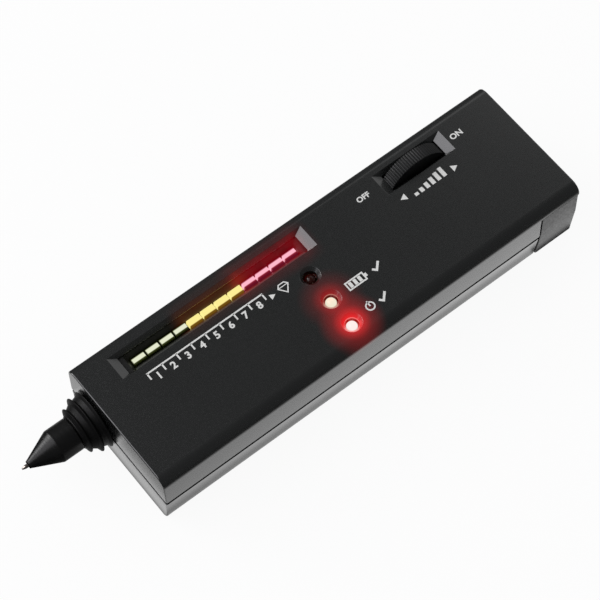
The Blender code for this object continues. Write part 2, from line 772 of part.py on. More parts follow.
for distance in tab_places:
    half = TOUCH_PLATE_THICKNESS / 2 + GAP
    reach = TAB_WIDTH / 2 + GAP
    low = (along(distance - half), -reach, -OVERRUN)
    high = (along(distance + half), reach, FLOOR + OVERRUN)
    tab_cutters.append(box(low, high))
cut(lower_shell, "tab_slots", tab_cutters)

# Battery cover: the rear cap, with two tongues that slide inside the side walls of the case
cover_outline = keel_outline(PARTING_HEIGHT, COVER_DRAFT)
cover_outline += [
    (upper_half(COVER_HEIGHT), COVER_HEIGHT),
    (-upper_half(COVER_HEIGHT), COVER_HEIGHT),
]
cap = prism_x(cover_outline, along(SEAM + GAP / 2), along(COVER_REAR))
ease_end(cap, along(COVER_REAR), COVER_HEIGHT)
battery_cover = solid("battery_cover", [cap], BLACK_PLASTIC, 0.38)
cut(
    battery_cover,
    "cover_hollow",
    [
        box(
            (along(SEAM - OVERRUN), -LOWER_INSIDE, FLOOR),
            (along(COVER_REAR - SIDE_WALL), LOWER_INSIDE, COVER_HEIGHT + OVERRUN),
        )
    ],
)
tongue_low = PARTING_HEIGHT + LIP_HEIGHT + GAP
tongue_outside = HALF_WIDTH - UPPER_DRAFT - SIDE_WALL - GAP / 2
tongues = []
for side in (-1, 1):
    inner = side * (tongue_outside - TONGUE_THICKNESS)
    outer = side * tongue_outside
    low = (along(SEAM - TONGUE_LENGTH), min(inner, outer), tongue_low)
    high = (along(SEAM + TONGUE_ROOT), max(inner, outer), COVER_HEIGHT - TONGUE_TOP_CLEARANCE)
    tongues.append(box(low, high))
join(battery_cover, "tongues", tongues)

# Collar: ridged cone that carries the probe, held in the front wall by its inner flange
collar_bore = TUBE_RADIUS + GAP
seat_bore = CONE_NECK_RADIUS + GAP
seat_depth = CONE_NECK_LENGTH + GAP
collar_profile = [(COLLAR_LENGTH, seat_bore), (COLLAR_LENGTH, COLLAR_FRONT_RADIUS)]
for index, crest_radius in enumerate(RIDGE_CREST_RADII):
    crest = RIDGE_FIRST - index * RIDGE_PITCH
    front_foot = crest + RIDGE_HALF_BASE
    rear_foot = max(crest - RIDGE_HALF_BASE, GAP)
    collar_profile.append((front_foot, collar_radius(front_foot)))
    collar_profile.append((crest, crest_radius))
    collar_profile.append((rear_foot, collar_radius(rear_foot)))
collar_profile += [
    (GAP, COLLAR_THROAT_RADIUS),
    (-SIDE_WALL - GAP, COLLAR_THROAT_RADIUS),
    (-SIDE_WALL - GAP, COLLAR_FLANGE_RADIUS),
    (-COLLAR_FLANGE_REAR, COLLAR_FLANGE_RADIUS),
    (-COLLAR_FLANGE_REAR, collar_bore),
    (COLLAR_LENGTH - seat_depth, collar_bore),
    (COLLAR_LENGTH - seat_depth, seat_bore),
]
nose_collar = turned(collar_profile, probe_place(0), FORWARD, ROUND_STEPS, bored=True)
solid("nose_collar", [nose_collar], PROBE_BLACK, 0.42)

# Nose cone: the pointed tip that screws into the collar, bored for the needle and the guide tube
needle_bore = NEEDLE_RADIUS + GAP
tube_bore_end = TUBE_FRONT + GAP
cone_front = CONE_SHOULDER + CONE_LENGTH
cone_profile = [
    (cone_front, needle_bore),
    (cone_front, CONE_TIP_RADIUS),
    (CONE_SHOULDER, CONE_RADIUS),
    (SHOULDER, CONE_RADIUS),
    (SHOULDER, CONE_NECK_RADIUS),
    (SHOULDER - CONE_NECK_LENGTH, CONE_NECK_RADIUS),
    (SHOULDER - CONE_NECK_LENGTH, collar_bore),
    (tube_bore_end, collar_bore),
    (tube_bore_end, needle_bore),
]
nose_cone = turned(cone_profile, probe_place(0), FORWARD, ROUND_STEPS, bored=True)
solid("nose_cone", [nose_cone], PROBE_BLACK, 0.30, 0.4)

# Guide tube: insulating sleeve in which the heater slides
tube_profile = [
    (0, TUBE_BORE),
    (0, TUBE_RADIUS),
    (TUBE_LENGTH, TUBE_RADIUS),
    (TUBE_LENGTH, TUBE_BORE),
]
tube_foot = probe_place(TUBE_FRONT)
guide_tube = turned(tube_profile, tube_foot, BACK, SMALL_ROUND_STEPS, bored=True)
solid("guide_tube", [guide_tube], (0.75, 0.72, 0.62), 0.5)

# Heater and needle: they slide back together when the needle is pressed on a stone
heater_front = TUBE_FRONT - NEEDLE_TRAVEL / 2
heater_profile = [
    (0, needle_bore),
    (0, HEATER_RADIUS),
    (HEATER_LENGTH, HEATER_RADIUS),
    (HEATER_LENGTH, 0),
    (NEEDLE_SEAT + GAP, 0),
    (NEEDLE_SEAT + GAP, needle_bore),
]
heater_foot = probe_place(heater_front)
heater = turned(heater_profile, heater_foot, BACK, SMALL_ROUND_STEPS, bored=True)
solid("heater_block", [heater], BRASS, 0.35, 1, heater_foot)
needle_length = PROBE_LENGTH - heater_front + NEEDLE_SEAT
needle_point = 2 * NEEDLE_RADIUS
needle_profile = [
    (0, 0),
    (0, NEEDLE_RADIUS / 2),
    (needle_point, NEEDLE_RADIUS),
    (needle_length, NEEDLE_RADIUS),
    (needle_length, 0),
]
needle_foot = probe_place(PROBE_LENGTH)
needle = turned(needle_profile, needle_foot, BACK, SMALL_ROUND_STEPS)
solid("probe_needle", [needle], (0.72, 0.66, 0.60), 0.28, 1, needle_foot)

# Probe spring: pushes the heater forward, one unbroken wire
spring_front = heater_front - HEATER_LENGTH - GAP - SPRING_WIRE_RADIUS
spring_run = SPRING_LENGTH - 2 * SPRING_WIRE_RADIUS
spring_points = []
spring_steps = SPRING_TURNS * SPRING_STEPS_PER_TURN
for index in range(spring_steps + 1):
    share = index / spring_steps
    angle = share * SPRING_TURNS * math.tau
    x, y, z = probe_place(spring_front - share * spring_run)
    y += SPRING_RADIUS * math.cos(angle)
    z += SPRING_RADIUS * math.sin(angle)
    spring_points.append((x, y, z))
tube_curve("probe_spring", spring_points, SPRING_WIRE_RADIUS, 1, STEEL, 0.3, 1)

# End plug: closes the guide tube behind the spring and lets the probe's wires out
plug_front = spring_front + SPRING_WIRE_RADIUS - SPRING_LENGTH - GAP
tube_rear = TUBE_FRONT - TUBE_LENGTH
plug_profile = [
    (0, 0),
    (0, TUBE_BORE - GAP),
    (plug_front - tube_rear + GAP, TUBE_BORE - GAP),
    (plug_front - tube_rear + GAP, TUBE_RADIUS),
    (plug_front - tube_rear + GAP + PLUG_FLANGE, TUBE_RADIUS),
    (plug_front - tube_rear + GAP + PLUG_FLANGE, 0),
]
plug = turned(plug_profile, probe_place(plug_front), BACK, SMALL_ROUND_STEPS)
solid("probe_end_plug", [plug], (0.06, 0.06, 0.06), 0.5)

# Circuit board: full width between the posts, with a narrow arm that reaches the potentiometer
board_outline = [
    (along(BOARD_START), -BOARD_HALF),
    (along(BOARD_END), -BOARD_HALF),
    (along(BOARD_END), ARM_NEAR_Y),
    (along(ARM_END), ARM_NEAR_Y),
    (along(ARM_END), ARM_TIP_NEAR_Y),
    (along(ARM_END + ARM_TIP_LENGTH), ARM_TIP_NEAR_Y),
    (along(ARM_END + ARM_TIP_LENGTH), BOARD_HALF),
    (along(BOARD_START), BOARD_HALF),
]
circuit_board = solid(
    "circuit_board", [prism_z(board_outline, BOARD_BOTTOM, BOARD_TOP)], BOARD_GREEN, 0.4
)
board_holes = []
for distance, y in post_places():
    if distance == SCREW_REAR_X:
        foot = (along(distance), y, BOARD_BOTTOM - OVERRUN)
        length = BOARD_THICKNESS + 2 * OVERRUN
        radius = SCREW_SHANK_RADIUS + GAP
        board_holes.append(rod(foot, UP, length, radius, SMALL_ROUND_STEPS))
cut(circuit_board, "board_holes", board_holes)

# Twelve flat lights in three colours, standing on the board under the long window
LIGHT_COLOURS = {
    "green_light": (0.45, 0.75, 0.20),
    "amber_light": (0.90, 0.50, 0.06),
    "red_light": (0.80, 0.05, 0.10),
}
light_count = len(LIGHT_COLOURS) * LIGHTS_PER_COLOUR
light_pitch = (LIGHT_ROW_END + GAP - LIGHT_ROW_START) / light_count
light_foot = BOARD_TOP + GAP
light_top = CASE_HEIGHT - LIGHT_TOP_DEPTH
light_index = 0
for name, colour in LIGHT_COLOURS.items():
    for number in range(1, LIGHTS_PER_COLOUR + 1):
        start = LIGHT_ROW_START + light_index * light_pitch
        low = (along(start), LIGHT_ROW_Y - LIGHT_WIDTH / 2, light_foot)
        high = (along(start + light_pitch - GAP), LIGHT_ROW_Y + LIGHT_WIDTH / 2, light_top)
        solid(f"{name}_{number}", [box(low, high)], colour, 0.3)
        light_index += 1

# Light holder: black strip with a sloped groove, which keeps the lights in line
holder_start = LIGHT_WINDOW_START + FRAME_END_SLOPE - HOLDER_MARGIN
holder_end = LIGHT_WINDOW_END - FRAME_END_SLOPE + HOLDER_MARGIN
holder_top = CEILING - GAP
holder = solid(
    "light_holder",
    [
        box(
            (along(holder_start), LIGHT_ROW_Y - HOLDER_WIDTH / 2, BOARD_TOP + GAP),
            (along(holder_end), LIGHT_ROW_Y + HOLDER_WIDTH / 2, holder_top),
        )
    ],
    (0.015, 0.015, 0.015),
    0.35,
)
pocket_half = LIGHT_WIDTH / 2 + GAP
pocket_low_x = along(LIGHT_ROW_START - GAP)
pocket_high_x = along(LIGHT_ROW_END + GAP)
groove_rate = (HOLDER_GROOVE_WIDTH / 2 - pocket_half) / HOLDER_GROOVE_DEPTH
groove_rings = []
for rise, height in (
    (HOLDER_GROOVE_DEPTH + OVERRUN, holder_top + OVERRUN),
    (0, holder_top - HOLDER_GROOVE_DEPTH),
    (0, BOARD_TOP - OVERRUN),
):
    spread = groove_rate * rise
    outline = rectangle(
        pocket_low_x - spread,
        pocket_high_x + spread,
        LIGHT_ROW_Y - pocket_half - spread,
        LIGHT_ROW_Y + pocket_half + spread,
    )
    groove_rings.append([(x, y, height) for x, y in outline])
cut(holder, "light_groove", [stacked(groove_rings)])

# Three round lamps, from the light row's side to the near side
LAMP_NAMES = ("diamond_lamp", "battery_lamp", "ready_lamp")
LAMP_COLOURS = ((0.20, 0.03, 0.02), (0.85, 0.08, 0.06), (0.85, 0.08, 0.06))
for name, colour, y in zip(LAMP_NAMES, LAMP_COLOURS, lamp_y):
    lamp_profile = [(0, 0), (0, LAMP_FLANGE_RADIUS), (LAMP_FLANGE_HEIGHT, LAMP_FLANGE_RADIUS)]
    lamp_profile.append((LAMP_FLANGE_HEIGHT, LAMP_RADIUS))
    dome_foot = LAMP_HEIGHT - LAMP_RADIUS
    for step in range(EDGE_STEPS):
        angle = step / EDGE_STEPS * math.pi / 2
        rise = LAMP_RADIUS * math.sin(angle)
        lamp_profile.append((dome_foot + rise, LAMP_RADIUS * math.cos(angle)))
    lamp_profile.append((LAMP_HEIGHT, 0))
    foot = (along(LAMP_X), y, BOARD_TOP + GAP)
    solid(name, [turned(lamp_profile, foot, UP, SMALL_ROUND_STEPS)], colour, 0.15)

# Edge wheel: turns on the potentiometer's shaft, its toothed rim stands out of the window
wheel_axis = (along(WHEEL_X), LIGHT_ROW_Y, WHEEL_HEIGHT)
rim = []
for index in range(WHEEL_TEETH):
    for share in WHEEL_TOOTH_SHARES:
        angle = (index + share) / WHEEL_TEETH * math.tau
        radius = WHEEL_RADIUS if share else WHEEL_RADIUS - WHEEL_TOOTH_DEPTH
        x = along(WHEEL_X) + radius * math.sin(angle)
        z = WHEEL_HEIGHT + radius * math.cos(angle)
        rim.append((x, z))
wheel = prism_y(rim, WHEEL_NEAR_Y, WHEEL_FAR_Y)
thumb_wheel = solid("thumb_wheel", [wheel], (0.018, 0.019, 0.019), 0.45, 0, wheel_axis)
bore_profile = [
    (-OVERRUN, 0),
    (-OVERRUN, WHEEL_RECESS_RADIUS),
    (WHEEL_RECESS_DEPTH, WHEEL_RECESS_RADIUS),
    (WHEEL_RECESS_DEPTH, SHAFT_RADIUS + GAP),
    (WHEEL_THICKNESS + OVERRUN, SHAFT_RADIUS + GAP),
    (WHEEL_THICKNESS + OVERRUN, 0),
]
wheel_near = (along(WHEEL_X), WHEEL_NEAR_Y, WHEEL_HEIGHT)
cut(thumb_wheel, "wheel_bore", [turned(bore_profile, wheel_near, FAR, SMALL_ROUND_STEPS)])

# Potentiometer with switch: body, turning shaft, soldered lugs, and the screw that holds the wheel
pot_low = PARTING_HEIGHT + LIP_HEIGHT + GAP
pot_high = CEILING - POT_TOP_CLEARANCE
pot_far_y = POT_NEAR_Y + POT_THICKNESS
pot_body = solid(
    "potentiometer_body",
    [
        box(
            (along(POT_FRONT), POT_NEAR_Y, pot_low),
            (along(POT_FRONT + POT_LENGTH), pot_far_y, pot_high),
        )
    ],
    (0.10, 0.10, 0.11),
    0.4,
)
shaft_far = POT_THICKNESS - 2 * GAP
shaft_bore = rod(
    (along(WHEEL_X), POT_NEAR_Y - OVERRUN, WHEEL_HEIGHT),
    FAR,
    OVERRUN + shaft_far + GAP,
    SHAFT_RADIUS + GAP,
    SMALL_ROUND_STEPS,
)
cut(pot_body, "shaft_bore", [shaft_bore])
shaft_near_y = WHEEL_NEAR_Y + WHEEL_RECESS_DEPTH
shaft_length = POT_NEAR_Y + shaft_far - shaft_near_y
screw_bore = WHEEL_SCREW_SHANK_RADIUS + GAP
screw_depth = WHEEL_SCREW_SHANK_LENGTH
shaft_profile = [
    (0, screw_bore),
    (0, SHAFT_RADIUS),
    (shaft_length, SHAFT_RADIUS),
    (shaft_length, 0),
    (screw_depth, 0),
    (screw_depth, screw_bore),
]
shaft_foot = (along(WHEEL_X), shaft_near_y, WHEEL_HEIGHT)
shaft = turned(shaft_profile, shaft_foot, FAR, SMALL_ROUND_STEPS, bored=True)
solid("potentiometer_shaft", [shaft], (0.80, 0.80, 0.78), 0.35, 0, wheel_axis)
head_near_y = shaft_near_y - GAP - WHEEL_SCREW_HEAD_HEIGHT
wheel_screw_profile = [
    (0, 0),
    (0, WHEEL_SCREW_HEAD_RADIUS),
    (WHEEL_SCREW_HEAD_HEIGHT, WHEEL_SCREW_HEAD_RADIUS),
    (WHEEL_SCREW_HEAD_HEIGHT, WHEEL_SCREW_SHANK_RADIUS),
    (WHEEL_SCREW_HEAD_HEIGHT + WHEEL_SCREW_SHANK_LENGTH, WHEEL_SCREW_SHANK_RADIUS),
    (WHEEL_SCREW_HEAD_HEIGHT + WHEEL_SCREW_SHANK_LENGTH, 0),
]
wheel_screw_foot = (along(WHEEL_X), head_near_y, WHEEL_HEIGHT)
wheel_screw = turned(wheel_screw_profile, wheel_screw_foot, FAR, SMALL_ROUND_STEPS)
solid("wheel_screw", [wheel_screw], STEEL, 0.3, 1, wheel_axis)
lug_middle_y = (ARM_TIP_NEAR_Y + BOARD_HALF) / 2
lugs = []
for index in range(3):
    near_y = lug_middle_y + (index - 1) * LUG_PITCH - LUG_WIDTH / 2
    for low_z in (BOARD_TOP + GAP, BOARD_BOTTOM - GAP - LUG_THICKNESS):
        if low_z < BOARD_TOP and index == 1:
            continue
        low = (along(ARM_END + GAP), near_y, low_z)
        high = (along(POT_FRONT + LUG_ROOT), near_y + LUG_WIDTH, low_z + LUG_THICKNESS)
        lugs.append(box(low, high))
join(pot_body, "potentiometer_lugs", lugs)

# Chips under the board, each with its two rows of legs
chip_room = BOARD_LENGTH - 2 * LONG_CHIP_LENGTH - SHORT_CHIP_LENGTH
chip_start = BOARD_START + chip_room * CHIP_ROW_START_SHARE
for number in (1, 2):
    place = chip_start + LONG_CHIP_LENGTH / 2
    name = f"comparator_chip_{number}"
    chip(name, place, LONG_CHIP_LENGTH, LONG_CHIP_LEGS, LONG_CHIP_LEG_INSET)
    chip_start += LONG_CHIP_LENGTH + chip_room * CHIP_SPACING_SHARE
place = chip_start + SHORT_CHIP_LENGTH / 2
chip("amplifier_chip", place, SHORT_CHIP_LENGTH, SHORT_CHIP_LEGS, SHORT_CHIP_LEG_INSET)

# Resistors on the board's top, beside the lights
resistor_profile = [
    (0, 0),
    (0, RESISTOR_RADIUS),
    (RESISTOR_WAIST_INSET, RESISTOR_RADIUS),
    (RESISTOR_WAIST_INSET, RESISTOR_WAIST_RADIUS),
    (RESISTOR_LENGTH - RESISTOR_WAIST_INSET, RESISTOR_WAIST_RADIUS),
    (RESISTOR_LENGTH - RESISTOR_WAIST_INSET, RESISTOR_RADIUS),
    (RESISTOR_LENGTH, RESISTOR_RADIUS),
    (RESISTOR_LENGTH, 0),
]
resistor_far_y = LIGHT_ROW_Y - HOLDER_WIDTH / 2 - RESISTOR_HOLDER_CLEARANCE
for number in range(1, RESISTOR_COUNT + 1):
    x = along(RESISTOR_FIRST_X + (number - 1) * light_pitch)
    foot = (x, resistor_far_y - RESISTOR_LENGTH, BOARD_TOP + GAP + RESISTOR_RADIUS)
    resistor = turned(resistor_profile, foot, FAR, TINY_ROUND_STEPS)
    solid(f"resistor_{number}", [resistor], (0.55, 0.42, 0.26), 0.45)

# Trimmers on the board's top, for setting the scale in the factory
half = TRIMMER_SIDE / 2
trimmer_y = -BOARD_HALF + TRIMMER_EDGE_INSET + half
for number in (1, 2):
    x = along(TRIMMER_X + (number - 1) * TRIMMER_PITCH)
    low = (x - half, trimmer_y - half, BOARD_TOP + GAP)
    high = (x + half, trimmer_y + half, BOARD_TOP + GAP + TRIMMER_HEIGHT)
    trimmer = solid(f"trimmer_{number}", [box(low, high)], (0.05, 0.16, 0.50), 0.45)
    dial_foot = (x, trimmer_y, BOARD_TOP + GAP + TRIMMER_HEIGHT / 2)
    dial_length = TRIMMER_HEIGHT / 2 + TRIMMER_DIAL_HEIGHT
    dial = rod(dial_foot, UP, dial_length, TRIMMER_DIAL_RADIUS, SMALL_ROUND_STEPS)
    join(trimmer, f"trimmer_dial_{number}", [dial])

# Capacitors, regulator and buzzer under the board
capacitor_y = -BOARD_HALF + CAPACITOR_EDGE_INSET + CAPACITOR_RADIUS
for number in (1, 2):
    foot = (along(CAPACITOR_X + (number - 1) * CAPACITOR_PITCH), capacitor_y, UNDER_BOARD)
    can = rod(foot, DOWN, CAPACITOR_HEIGHT, CAPACITOR_RADIUS, SMALL_ROUND_STEPS)
    solid(f"capacitor_{number}", [can], (0.03, 0.04, 0.12), 0.35)
regulator_x = BOARD_START + BOARD_LENGTH * REGULATOR_PLACE_SHARE
regulator_y = -BOARD_HALF + REGULATOR_EDGE_INSET + REGULATOR_RADIUS
regulator_outline = []
flat_angle = math.asin(REGULATOR_FLAT / REGULATOR_RADIUS)
for step in range(2 * EDGE_STEPS + 1):
    angle = -flat_angle + step / (2 * EDGE_STEPS) * (math.pi + 2 * flat_angle)
    x = along(regulator_x) + REGULATOR_RADIUS * math.cos(angle)
    y = regulator_y + REGULATOR_RADIUS * math.sin(angle)
    regulator_outline.append((x, y))
regulator = prism_z(regulator_outline, UNDER_BOARD - REGULATOR_HEIGHT, UNDER_BOARD)
solid("voltage_regulator", [regulator], (0.02, 0.02, 0.02), 0.5)
buzzer_profile = [
    (0, 0),
    (0, BUZZER_RADIUS),
    (BUZZER_HEIGHT, BUZZER_RADIUS),
    (BUZZER_HEIGHT, BUZZER_HOLE_RADIUS),
    (BUZZER_HEIGHT - BUZZER_HOLE_DEPTH, BUZZER_HOLE_RADIUS),
    (BUZZER_HEIGHT - BUZZER_HOLE_DEPTH, 0),
]
buzzer_x = BOARD_START + BOARD_LENGTH * BUZZER_PLACE_SHARE
buzzer_y = -BOARD_HALF + BUZZER_EDGE_INSET + BUZZER_RADIUS
buzzer_foot = (along(buzzer_x), buzzer_y, UNDER_BOARD)
buzzer = turned(buzzer_profile, buzzer_foot, DOWN, ROUND_STEPS)
solid("buzzer", [buzzer], (0.02, 0.02, 0.02), 0.45)

# Battery: block with two terminals on its front face, lying in the bay
battery_outline = []
for turns, y, z in (
    (0, BATTERY_FAR_Y - BATTERY_EDGE_RADIUS, BATTERY_HIGH - BATTERY_EDGE_RADIUS),
    (1, BATTERY_NEAR_Y + BATTERY_EDGE_RADIUS, BATTERY_HIGH - BATTERY_EDGE_RADIUS),
    (2, BATTERY_NEAR_Y + BATTERY_EDGE_RADIUS, BATTERY_LOW + BATTERY_EDGE_RADIUS),
    (3, BATTERY_FAR_Y - BATTERY_EDGE_RADIUS, BATTERY_LOW + BATTERY_EDGE_RADIUS),
):
    battery_outline += quarter(y, z, BATTERY_EDGE_RADIUS, turns)
block = prism_x(battery_outline, along(BATTERY_FRONT), along(BATTERY_REAR))
battery = solid("battery", [block], (0.30, 0.31, 0.33), 0.35, 0.6)
terminal_reach = BATTERY_WIDTH * TERMINAL_PITCH_SHARE / 2
terminal_y = [BATTERY_Y + side * terminal_reach for side in (-1, 1)]
terminals = []
for y in terminal_y:
    foot = (along(BATTERY_FRONT + OVERRUN), y, BATTERY_Z)
    length = TERMINAL_LENGTH + OVERRUN
    terminals.append(rod(foot, FORWARD, length, TERMINAL_RADIUS, SMALL_ROUND_STEPS))
join(battery, "battery_terminals", terminals)

# Battery snap: moulded bar with two cups that grip the terminals
snap_bar = box(
    (along(SNAP_FRONT), BATTERY_NEAR_Y + SNAP_INSET, BATTERY_Z - SNAP_HEIGHT / 2),
    (along(SNAP_REAR), BATTERY_FAR_Y - SNAP_INSET, BATTERY_Z + SNAP_HEIGHT / 2),
)
battery_snap = solid("battery_snap", [snap_bar], (0.03, 0.03, 0.03), 0.5)
cup_inside = TERMINAL_RADIUS + GAP
cup_profile = [
    (-SNAP_THICKNESS / 2, cup_inside),
    (-SNAP_THICKNESS / 2, cup_inside + SNAP_CUP_WALL),
    (SNAP_CUP_DEPTH, cup_inside + SNAP_CUP_WALL),
    (SNAP_CUP_DEPTH, cup_inside),
]
cups = []
for y in terminal_y:
    foot = (along(SNAP_REAR), y, BATTERY_Z)
    cups.append(turned(cup_profile, foot, BACK, SMALL_ROUND_STEPS, bored=True))
join(battery_snap, "snap_cups", cups)

# Foam pad between the battery and the top wall
pad_x = (BATTERY_FRONT + BATTERY_REAR) / 2
pad = box(
    (along(pad_x - PAD_LENGTH / 2), BATTERY_Y - PAD_WIDTH / 2, CEILING - GAP - PAD_THICKNESS),
    (along(pad_x + PAD_LENGTH / 2), BATTERY_Y + PAD_WIDTH / 2, CEILING - GAP),
)
solid("battery_pad", [pad], (0.10, 0.10, 0.10), 0.95)

# Battery leads: from the snap forward over its rest, then up to the board
for name, side, colour in (("red_lead", 1, (0.60, 0.03, 0.03)), ("black_lead", -1, (0.01,) * 3)):
    y = BATTERY_Y + side * LEAD_SPACING
    start_x = along(SNAP_FRONT - GAP)
    end_x = along(BOARD_END - LEAD_BOARD_INSET)
    route = [(start_x, y, LEAD_HEIGHT), (end_x + LEAD_BEND, y, LEAD_HEIGHT)]
    for step in range(1, EDGE_STEPS):
        angle = step / EDGE_STEPS * math.pi / 2
        x = end_x + LEAD_BEND - LEAD_BEND * math.sin(angle)
        z = LEAD_HEIGHT + LEAD_BEND - LEAD_BEND * math.cos(angle)
        route.append((x, y, z))
    route.append((end_x, y, max(LEAD_HEIGHT + LEAD_BEND, UNDER_BOARD - GAP)))
    route.append((end_x, y, UNDER_BOARD))
    tube_curve(name, route, LEAD_RADIUS, 1, colour, 0.5)

# Probe wires: three fine leads from the end plug up to the board
wire_start = -tube_rear + GAP + PLUG_FLANGE + GAP
wire_colours = ((0.60, 0.03, 0.03), (0.01, 0.01, 0.01), (0.70, 0.70, 0.66))
wire_names = ("heater_lead", "ground_lead", "sensor_lead")
for index, (name, colour) in enumerate(zip(wire_names, wire_colours)):
    y = PROBE_Y + (index - 1) * FINE_LEAD_PITCH
    low = Vector((along(wire_start), y, PROBE_HEIGHT))
    high = Vector((along(PROBE_LEAD_END_X), y, UNDER_BOARD))
    route = []
    for step in range(EDGE_STEPS + 1):
        angle = step / EDGE_STEPS * math.pi / 2
        x = low.x + (high.x - low.x) * math.sin(angle)
        z = high.z - (high.z - low.z) * math.cos(angle)
        route.append((x, y, z))
    tube_curve(name, route, FINE_LEAD_RADIUS, 1, colour, 0.5)

# Touch plate in the underside, with two tabs through the floor and a lead to the board
sheet = box(
    (along(TOUCH_PLATE_X - plate_half_length), -plate_half_width, TOUCH_PLATE_SET_BACK),
    (along(TOUCH_PLATE_X + plate_half_length), plate_half_width, plate_top),
)
touch_plate = solid("touch_plate", [sheet], STEEL, 0.3, 1)
tabs = []
for distance in tab_places:
    half = TOUCH_PLATE_THICKNESS / 2
    low = (along(distance - half), -TAB_WIDTH / 2, TOUCH_PLATE_SET_BACK + half)
    high = (along(distance + half), TAB_WIDTH / 2, TAB_HEIGHT)
    tabs.append(box(low, high))
join(touch_plate, "tabs", tabs)
lead_x = along(tab_places[1])
plate_route = [
    (lead_x, 0, TAB_HEIGHT + GAP),
    (lead_x, 0, UNDER_BOARD),
]
tube_curve("touch_plate_lead", plate_route, LEAD_RADIUS, 1, (0.02, 0.20, 0.06), 0.5)

# Four case screws, put in from below
screw_profile = [
    (head_room - SCREW_HEAD_HEIGHT, 0),
    (head_room - SCREW_HEAD_HEIGHT, SCREW_HEAD_RADIUS),
    (head_room, SCREW_HEAD_RADIUS),
    (head_room, SCREW_SHANK_RADIUS),
    (SCREW_LENGTH, SCREW_SHANK_RADIUS),
    (SCREW_LENGTH, 0),
]
for number, (distance, y) in enumerate(post_places(), 1):
    screw = turned(screw_profile, (along(distance), y, 0), UP, SMALL_ROUND_STEPS)
    solid(f"case_screw_{number}", [screw], STEEL, 0.35, 1)
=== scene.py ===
"""Looks of the pocket diamond tester: finishes, printed marks and fine shapes over the solids."""

import math

import bmesh
import bpy
from mathutils import Matrix, Vector


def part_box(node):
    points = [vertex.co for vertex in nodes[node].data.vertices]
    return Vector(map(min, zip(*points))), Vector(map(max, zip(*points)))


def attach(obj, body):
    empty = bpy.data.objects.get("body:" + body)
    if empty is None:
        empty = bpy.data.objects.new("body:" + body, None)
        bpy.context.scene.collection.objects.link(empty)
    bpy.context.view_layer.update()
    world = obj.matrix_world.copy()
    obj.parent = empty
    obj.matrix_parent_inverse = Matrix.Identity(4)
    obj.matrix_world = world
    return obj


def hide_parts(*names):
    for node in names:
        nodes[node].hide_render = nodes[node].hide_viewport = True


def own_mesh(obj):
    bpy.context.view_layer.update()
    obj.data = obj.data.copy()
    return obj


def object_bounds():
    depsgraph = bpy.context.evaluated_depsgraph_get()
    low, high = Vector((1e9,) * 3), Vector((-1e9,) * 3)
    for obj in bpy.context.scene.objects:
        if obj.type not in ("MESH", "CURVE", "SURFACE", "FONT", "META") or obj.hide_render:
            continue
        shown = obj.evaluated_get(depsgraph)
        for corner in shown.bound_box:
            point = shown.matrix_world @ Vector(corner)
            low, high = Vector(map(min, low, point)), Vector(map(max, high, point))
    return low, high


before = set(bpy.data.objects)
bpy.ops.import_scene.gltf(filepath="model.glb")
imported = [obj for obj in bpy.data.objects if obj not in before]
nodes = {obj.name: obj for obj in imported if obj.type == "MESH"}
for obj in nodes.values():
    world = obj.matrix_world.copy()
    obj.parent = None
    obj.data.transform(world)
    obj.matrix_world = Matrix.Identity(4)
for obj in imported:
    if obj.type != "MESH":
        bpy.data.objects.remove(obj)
cad_low, cad_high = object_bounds()

# Stage: a white table that keeps a faint shadow under the tester. Its glow is seen only by the eye
# and in reflections, so that it adds no diffuse light of its own to the case. Polished faces mirror
# a painted pool of light round the tester, painted shade at its foot and a dim table beyond it, and
# under the tester a painted glow that lights its underside in reflections. From below the table is
# clear.
case_low, case_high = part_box("upper_shell")
case_front = case_low.x
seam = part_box("lower_shell")[1].x
table_reach = 3.0
table_drop = 0.00005
table_form = bmesh.new()
bmesh.ops.create_grid(table_form, x_segments=1, y_segments=1, size=table_reach)
bmesh.ops.translate(table_form, vec=(0, 0, -table_drop), verts=table_form.verts)
table_mesh = bpy.data.meshes.new("table_top")
table_form.to_mesh(table_mesh)
table_form.free()
table_top = bpy.data.objects.new("table_top", table_mesh)
bpy.context.scene.collection.objects.link(table_top)


def feed(tree, node, entry, value):
    """Sets a node's input, or links it where the value is another node's output."""
    if isinstance(value, bpy.types.NodeSocket):
        tree.links.new(value, node.inputs[entry])
    else:
        node.inputs[entry].default_value = value


def reckon(tree, operation, *values):
    """Result of a math node on numbers and other nodes' outputs."""
    node = tree.nodes.new("ShaderNodeMath")
    node.operation = operation
    for index, value in enumerate(values):
        feed(tree, node, index, value)
    return node.outputs["Value"]


def product(tree, result, *others):
    for other in others:
        result = reckon(tree, "MULTIPLY", result, other)
    return result


def grade(tree, value, low, high, to_low, to_high, smooth=True):
    """Result that goes from to_low to to_high while a value goes from low to high."""
    node = tree.nodes.new("ShaderNodeMapRange")
    node.interpolation_type = "SMOOTHSTEP" if smooth else "LINEAR"
    entries = ("Value", "From Min", "From Max", "To Min", "To Max")
    for entry, given in zip(entries, (value, low, high, to_low, to_high)):
        feed(tree, node, entry, given)
    return node.outputs["Result"]


def own_place(tree):
    """Where a point lies on its object."""
    return tree.nodes.new("ShaderNodeTexCoord").outputs["Object"]


def sides_of(tree, place):
    """X, Y and Z of a place."""
    node = tree.nodes.new("ShaderNodeSeparateXYZ")
    feed(tree, node, "Vector", place)
    return node.outputs


